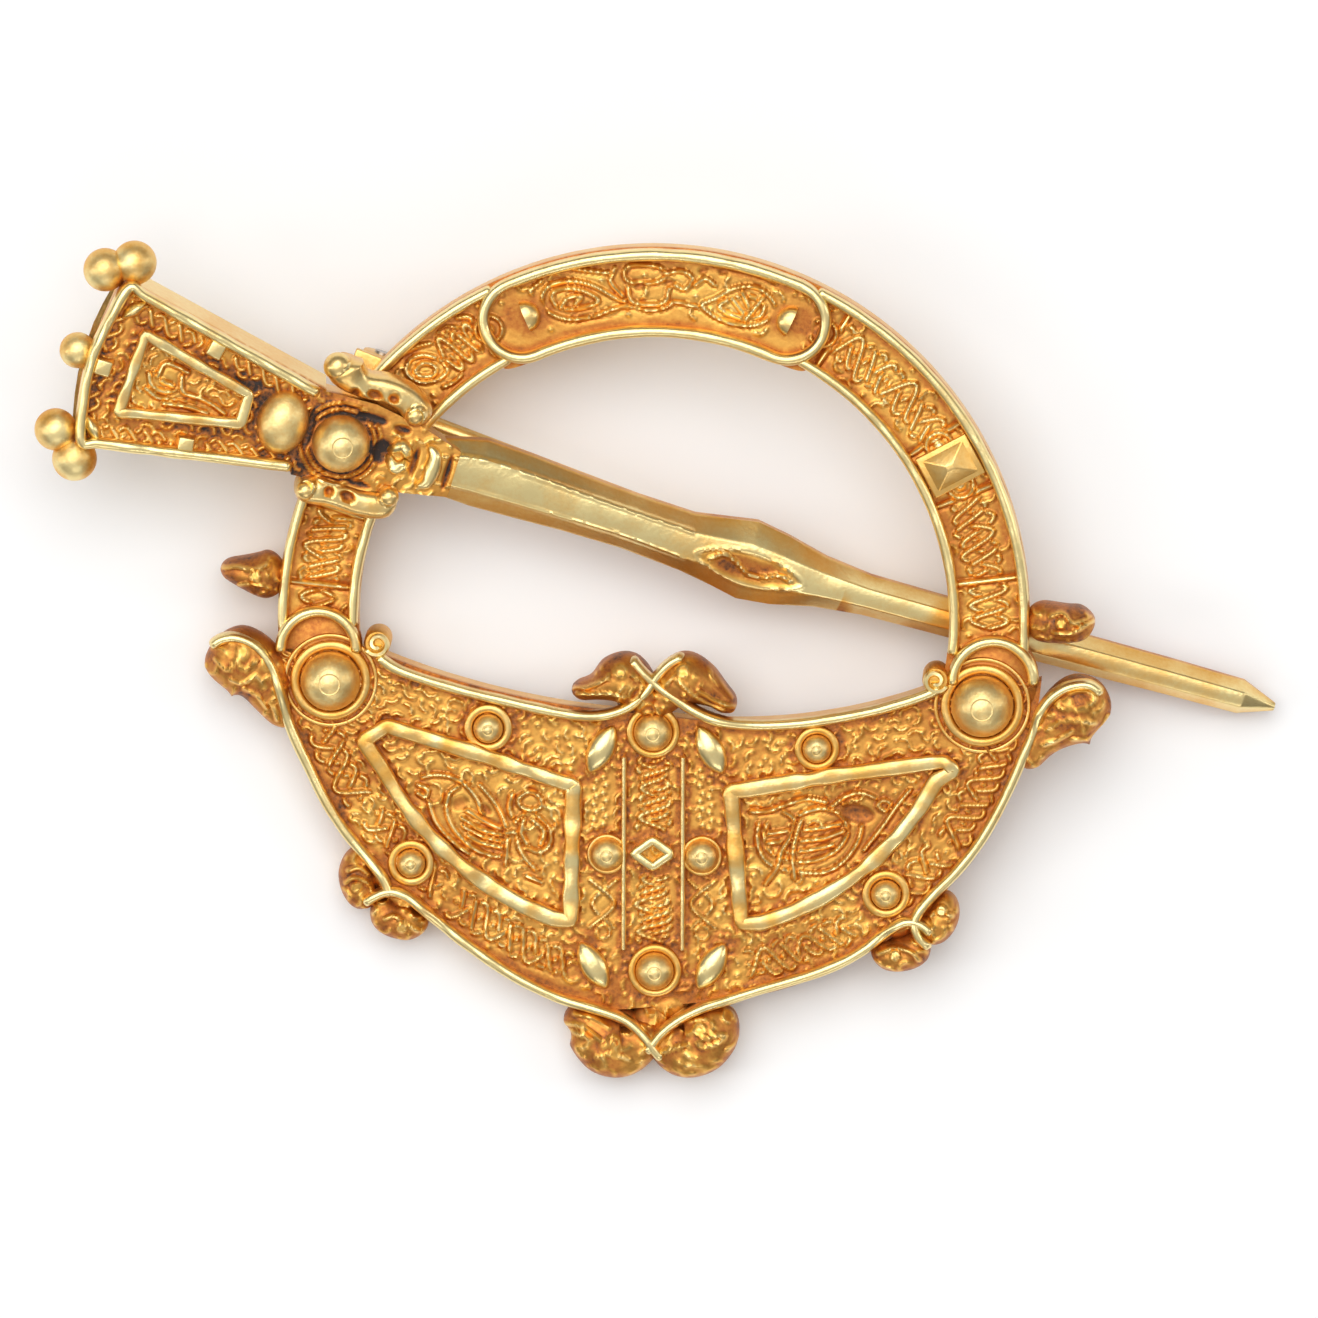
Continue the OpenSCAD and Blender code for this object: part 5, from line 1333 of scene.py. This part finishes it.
class OBJECT_OT_brooch_lugs(bpy.types.Operator):
    """Beast-head lugs round the edge of the plate and the ring"""

    bl_idname = "object.brooch_lugs"
    bl_label = "Beast-head lugs"

    def execute(self, context):
        face = ornament("face")
        tone, back = 0.1, 0.05
        lugs = [mound(rows, back, face, 130 + k, columns=84, wraps=60, tone=tone)
                for k, rows in enumerate(LUGS)]
        for k, (x, y, half, turn) in enumerate(LUG_FILLERS):
            rows = leaf_rows(x, y, turn, half * 1.2, (half, half * 0.4), (1.6, 0.2))
            lugs.append(mound(rows, back, face, 145 + k, tone=tone))
        make_piece("beast_lugs", lugs, gold_finish("cast_gold"))
        return {"FINISHED"}


class OBJECT_OT_brooch_studs(bpy.types.Operator):
    """Ten riveted domed studs, each with its small button"""

    bl_idname = "object.brooch_studs"
    bl_label = "Studs"

    def execute(self, context):
        pale = gold_finish("polished_gold", mottle_size=1500.0, mottle_amount=0.3, relief=0.4, polish=1.5)
        for name, x, y, dome, _ in STUDS:
            at = REST @ Matrix.Translation((x, y, PLATE_GROUND + 0.02))
            form = turned(dome_profile(dome), at, lambda co, top=dome: 0.6 + 0.3 * min(max(co.z / top, 0), 1))
            make_piece(name + "_dome", [form], pale, (name,))
        return {"FINISHED"}


class OBJECT_OT_brooch_pin(bpy.types.Operator):
    """Ornamental pin: square head with knobs, neck with its boss and scrolls, and the long shaft"""

    bl_idname = "object.brooch_pin"
    bl_label = "Ornamental pin"

    def execute(self, context):
        half, _, _, pushed = sizes()
        pin = ornament("pin")
        gold = gold_finish("cast_gold")
        tl, tr, br, bl = (np.array(p) for p in (HEAD_TL, HEAD_TR, HEAD_BR, HEAD_BL))

        def head(along, wrap):
            across, level = around(wrap, HEAD_ROWS)
            top, _ = on_top(level)
            bulge = np.stack([HEAD_BULGE * np.sin(math.pi * across), 0 * across], 1)
            left = bl + (tl - bl) * across[:, None] - bulge
            right = br + (tr - br) * across[:, None]
            place = left + (right - left) * along[:, None]
            u, v = place[:, 0], place[:, 1]
            v = v + np.where(across > 0.5, 0.3, -0.1) * (1 - np.clip(level, 0, 1))
            z = np.where(top, HEAD_GROUND + pin.read(pin.height, u, v), level * HEAD_GROUND)
            # The head's top takes the pin's rubbing, painted shade beside the frames included
            rubbed = np.where(top, pin.read(pin.rubbed, u, v), 0.8 + 0.1 * mottle(u, v, 0.8, 51))
            return np.stack([u, v, z], 1), rubbed

        def neck(along, wrap):
            across, level = around(wrap, NECK_ROWS)
            top, _ = on_top(level)
            u = -1.6 + 6.5 * along
            marks = (-1.6, 1, 3, 4.9)
            upper = np.interp(u, marks, (1.9, 1.95, 1.6, 1.02))
            lower = np.interp(u, marks, (-1.85, -1.8, -1.3, -0.95))
            v = lower + (upper - lower) * across
            crown = 0.08 * np.sin(math.pi * across)
            z = np.where(top, 2.02 + crown + pin.read(pin.height, u, v), level * 2.02)
            # The neck's top takes the pin's rubbing, painted shade round the bosses included
            rubbed = np.where(top, pin.read(pin.rubbed, u, v) - 0.05, 0.62)
            return np.stack([u, v, z], 1), rubbed

        rows = np.array(SHAFT, float)

        def shaft(along, wrap):
            u = 4.2 + 36.6 * along
            mid, wide, top, side = (np.interp(u, rows[:, 0], rows[:, k]) for k in (1, 2, 3, 4))
            row = wrap * 52
            marks = np.array([0, 6, 9, 19, 33, 43, 46, 52])
            across = np.interp(row, marks, [-1, 1, 1, 0.45, -0.45, -1, -1, -1])
            level = np.interp(row, marks, [0, 0, 1, 2, 2, 1, 0, 0])
            z = np.where(level <= 1, level * side, side + (level - 1) * (top - side))
            soft = np.clip(level - 1, 0, 1)
            v = mid + wide * across
            crown = 0.05 * np.clip(1 - (across / 0.45) ** 2, 0, 1) * (level > 1.99)
            z = z + crown + soft * (pin.read(pin.height, u, v) + 0.5 * pushed * mottle(u, v, 1.1, 55))
            worn = 0.66 + 0.24 * soft - 0.3 * (level < 0.9)
            worn = worn + 0.1 * mottle(u, v, 0.7, 56) + 0.14 * mottle(u, v, 3.1, 57)
            worn = worn - 0.6 * np.clip(mottle(u, v, 1.1, 59) + 0.25, 0, 1) * ((u > 22) & (u < 29))
            cut = pin.read(pin.height, u, v) * soft
            rubbed = np.clip(worn + 4.2 * np.minimum(cut, 0) + 0.8 * np.maximum(cut, 0), 0, 1)
            return np.stack([u, v, z], 1), rubbed

        make_piece("pin_head", [slab(190, HEAD_ROWS, head, PIN)], gold, ("long_pin",))
        make_piece("pin_shaft", [skin(520, 52, shaft, PIN)], gold)
        forms = [slab(110, NECK_ROWS, neck, PIN)]
        for k, scroll in enumerate((SCROLL_UP, SCROLL_DOWN)):
            wider = [(u, v, wide * 1.18, top) for u, v, wide, top in scroll]
            forms.append(mound(wider, 0.7, pin, 150 + k, PIN, 90, 60, full=3.0, tone=0.66))
        for u, v, radius, top in SCROLL_BALLS:
            at = PIN @ Matrix.Translation((u, v, top))
            forms.append(turned(round_profile(radius, -90, 91, 10), at, 0.82, 32))
        for k, bow in enumerate((BOW, LOW_BOW)):
            forms.append(mound(bow, 1.9, pin, 152 + k, PIN, 26, 22, tone=0.84))
        forms.append(mound(CRESCENT, 1.5, BARE, 154, PIN, 34, 22, tone=0.9))
        make_piece("pin_neck", forms, gold)

        def drawn_in(points, inset):
            middle = np.mean(points, axis=0)
            return [tuple(np.array(p) - inset * np.sign(np.array(p) - middle)) for p in points]

        frames = []
        bulged = [tuple(bl + (tl - bl) * t - np.array([HEAD_BULGE * math.sin(math.pi * t), 0]))
                  for t in (0, 0.25, 0.5, 0.75, 1)]
        corner_tl, corner_tr, corner_br, corner_bl = drawn_in([HEAD_TL, HEAD_TR, HEAD_BR] + bulged[:1], 0.22)
        left = [(u + 0.24, v * 0.94 + 0.02) for u, v in bulged[-2:0:-1]]
        marks = (0, 0.08, 0.3, 0.7, 0.92)
        loop = straight([corner_tr, corner_tl], marks) + left + straight([corner_bl, corner_br], marks)
        frames.append(rib(with_top(loop, HEAD_RIM_TOP), 0.25, 1.6, 160, place=PIN, rows=16, dents=1.6))
        bars = drawn_in(HEAD_BARS, 0.24)
        bars = with_top(straight(bars + bars[:1], marks), 2.5)
        frames.append(rib(bars, 0.25, 1.8, 161, square=3.6, place=PIN, rows=18, tone=0.78, dents=3.0))
        for u, v, turn in HEAD_SQUARES:
            at = PIN @ Matrix.Translation((u, v, 1.9)) @ Matrix.Rotation(math.radians(turn), 4, "Z")
            frames.append(block((0.88, 0.88, 0.62), at, lambda co: 0.45 + 0.75 * co.z, 0.08, 0.72))
        for u, v, turn in HEAD_LEAVES:
            rows = leaf_rows(u, v, turn, 0.65, (0.29, 0.26), (2.52, 0.32))
            frames.append(mound(rows, 1.9, BARE, 163, PIN, 22, 18, full=1.5, tone=0.8))
        make_piece("pin_frames", frames, gold)
        knobs = []
        for u, v, radius in HEAD_KNOBS:
            at = PIN @ Matrix.Translation((u, v, 1.5))
            knobs.append(turned(round_profile(radius, -90, 91, 6, squash=0.95), at, lambda co, r=radius: (
                0.6 + 0.3 * co.z / r + 0.3 * float(mottle(co.x + u, co.y + v, 0.6, 58))), 48))
        at = PIN @ Matrix.Translation((*OVAL_BOSS, 1.9))
        knobs.append(turned([(1.0, -0.1)] + round_profile(1.0, 0, 91, 6), at, lambda co: 0.62 + 0.3 * co.z,
                            48, stretch=(1.08, 1.38, 0.95)))
        pale = gold_finish("polished_gold")
        make_piece("pin_knobs", knobs, pale, ())
        boss = turned(dome_profile(NECK_BOSS_RADIUS, 2.12), PIN,
                      lambda co: 0.6 + 0.3 * min(max(co.z - 2.1, 0), 1))
        make_piece("neck_boss", [boss], pale, ("neck_rivet",))
        return {"FINISHED"}


class OBJECT_OT_brooch_fittings(bpy.types.Operator):
    """Back fittings: seat under the neck, hinge, catch, and the finish of stem and rivet"""

    bl_idname = "object.brooch_fittings"
    bl_label = "Back fittings"

    def execute(self, context):
        plain = gold_finish("plain_gold", rubbing=0.66, mottle_size=700.0, mottle_amount=0.34)
        seat = turned([(0, 0.3), (1.35, 0.3), (1.35, 1.2), (1.28, 1.25), (0, 1.25)],
                      REST @ Matrix.Translation((-12.93, 7.67, 0)), 0.5, 48)
        make_piece("neck_seat", [seat], plain)
        knuckles = [block((2.2, 4.1, 0.45), STEM @ Matrix.Translation((0, 0, 0.8)), 0.5, 0.06)]
        outline = round_profile(0.8, 180, 361, 15) + [(0.8, 0.85), (-0.8, 0.85)]
        turn = STEM @ Matrix.Rotation(math.radians(-90), 4, "Z")
        for start, end in ((0.98, 2.05), (-2.05, -0.98)):
            knuckles.append(channel(outline, start, end, turn, 0.6))
        make_piece("hinge_knuckles", knuckles, plain)
        trough = ([(-0.75, -0.75), (-0.46, -0.75)] + round_profile(0.46, 180, -1, -20)
                  + [(0.46, -0.75), (0.75, -0.75), (0.75, 0.8), (-0.75, 0.8)])
        make_piece("catch_trough", [channel(trough, 26.9, 28.9, CATCH, 0.6, 0.04)], plain)
        stem = gold_finish("stem_gold", rubbing=0.8, mottle_size=1100.0, mottle_amount=0.3, relief=0.2)
        for name, material in (("pin_stem", stem), ("hinge_rivet", steel_finish())):
            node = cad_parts[name]
            for spot in node.material_slots:
                spot.material = material
            if not node.material_slots:
                node.data.materials.append(material)
        return {"FINISHED"}


class OBJECT_OT_brooch_stage(bpy.types.Operator):
    """Plain pale floor, soft studio lights and the camera at the photograph's angle"""

    bl_idname = "object.brooch_stage"
    bl_label = "Studio stage"

    def execute(self, context):
        studio = context.scene.brooch_studio
        bm = bmesh.new()
        bmesh.ops.create_grid(bm, x_segments=4, y_segments=4, size=1.5)
        mesh = finished_mesh(bm, "floor")
        put_object("floor", mesh)
        paper, tree, shader = new_material("floor_paper")
        dark = [0.985 * c for c in studio.floor_colour]
        tone = two_tones(tree, noise_fac(tree, 40.0), dark, studio.floor_colour)
        feed(tree, shader, {"Roughness": 0.85, "Base Color": tone.outputs["Color"]})
        mesh.materials.append(paper)

        room = bpy.data.worlds.new("soft_room")
        context.scene.world = room
        room.use_nodes = True
        tree = room.node_tree
        where = tree.nodes.new("ShaderNodeTexCoord").outputs["Generated"]
        split = feed(tree, tree.nodes.new("ShaderNodeSeparateXYZ"), {"Vector": where})
        height = two_tones(tree, split.outputs["Z"], (0.16, 0.15, 0.14), (1, 1, 1))
        for stop, position in zip(height.color_ramp.elements, (0.1, 0.75)):
            stop.position = position
        feed(tree, tree.nodes["Background"], {"Color": height.outputs["Color"],
                                              "Strength": studio.room_strength})
        for name, at, size, power in (
                ("key_light", (-0.12, 0.2, 0.6), (0.7, 0.55), studio.key_power),
                ("left_light", (-0.5, -0.05, 0.26), (0.1, 0.45), studio.side_power),
                ("right_light", (0.5, 0.1, 0.26), (0.1, 0.45), studio.side_power * 0.8),
                ("front_light", (0.05, -0.5, 0.3), (0.4, 0.08), studio.side_power * 0.7)):
            light = bpy.data.lights.new(name, "AREA")
            light.shape = "RECTANGLE"
            light.size, light.size_y = size
            light.energy = power
            lamp = put_object(name, light)
            lamp.location = at
            lamp.rotation_euler = (-Vector(at)).to_track_quat("-Z", "Y").to_euler()
        context.scene.view_settings.view_transform = "Standard"

        lens = bpy.data.cameras.new("camera")
        lens.sensor_width = 36.0
        lens.lens = lens.sensor_width * studio.camera_distance / studio.frame_width
        lens.clip_start = 0.05
        camera = put_object("camera", lens)
        turn = REST.to_3x3()
        back = (turn @ Vector((0.029, 0.152, 1.0))).normalized()
        up = turn @ Vector((-0.00325, 1, 0))
        side = up.cross(back).normalized()
        up = back.cross(side)
        target = (REST @ Vector((0.245, -1.539, 1.9))) * MM
        place = Matrix((side, up, back)).transposed().to_4x4()
        place.translation = target + back * studio.camera_distance
        camera.matrix_world = place
        context.scene.camera = camera
        return {"FINISHED"}


class VIEW3D_PT_brooch(bpy.types.Panel):
    """Lists the brooch's pieces and their settings"""

    bl_label = "Brooch"
    bl_idname = "VIEW3D_PT_brooch"
    bl_space_type = "VIEW_3D"
    bl_region_type = "UI"
    bl_category = "Brooch"

    def draw(self, context):
        layout = self.layout
        for group in (context.scene.brooch_sizes, context.scene.brooch_finish, context.scene.brooch_studio):
            box = layout.box()
            for key in group.__annotations__:
                box.prop(group, key)
        for operator in OPERATORS:
            layout.operator(operator.bl_idname)


OPERATORS = (OBJECT_OT_brooch_plate, OBJECT_OT_brooch_ring, OBJECT_OT_brooch_lugs, OBJECT_OT_brooch_studs,
             OBJECT_OT_brooch_pin, OBJECT_OT_brooch_fittings, OBJECT_OT_brooch_stage)
CLASSES = (BroochSizes, BroochFinish, BroochStudio) + OPERATORS + (VIEW3D_PT_brooch,)


def register():
    """Makes the settings, operators and panel known"""
    for cls in CLASSES:
        bpy.utils.register_class(cls)
    bpy.types.Scene.brooch_sizes = PointerProperty(type=BroochSizes)
    bpy.types.Scene.brooch_finish = PointerProperty(type=BroochFinish)
    bpy.types.Scene.brooch_studio = PointerProperty(type=BroochStudio)


def unregister():
    """Takes them away again"""
    del bpy.types.Scene.brooch_studio
    del bpy.types.Scene.brooch_finish
    del bpy.types.Scene.brooch_sizes
    for cls in reversed(CLASSES):
        bpy.utils.unregister_class(cls)


def main():
    """Builds every piece in order"""
    register()
    bpy.ops.object.brooch_plate()
    bpy.ops.object.brooch_ring()
    bpy.ops.object.brooch_lugs()
    bpy.ops.object.brooch_studs()
    bpy.ops.object.brooch_pin()
    bpy.ops.object.brooch_fittings()
    bpy.ops.object.brooch_stage()


if __name__ == "__main__":
    main()
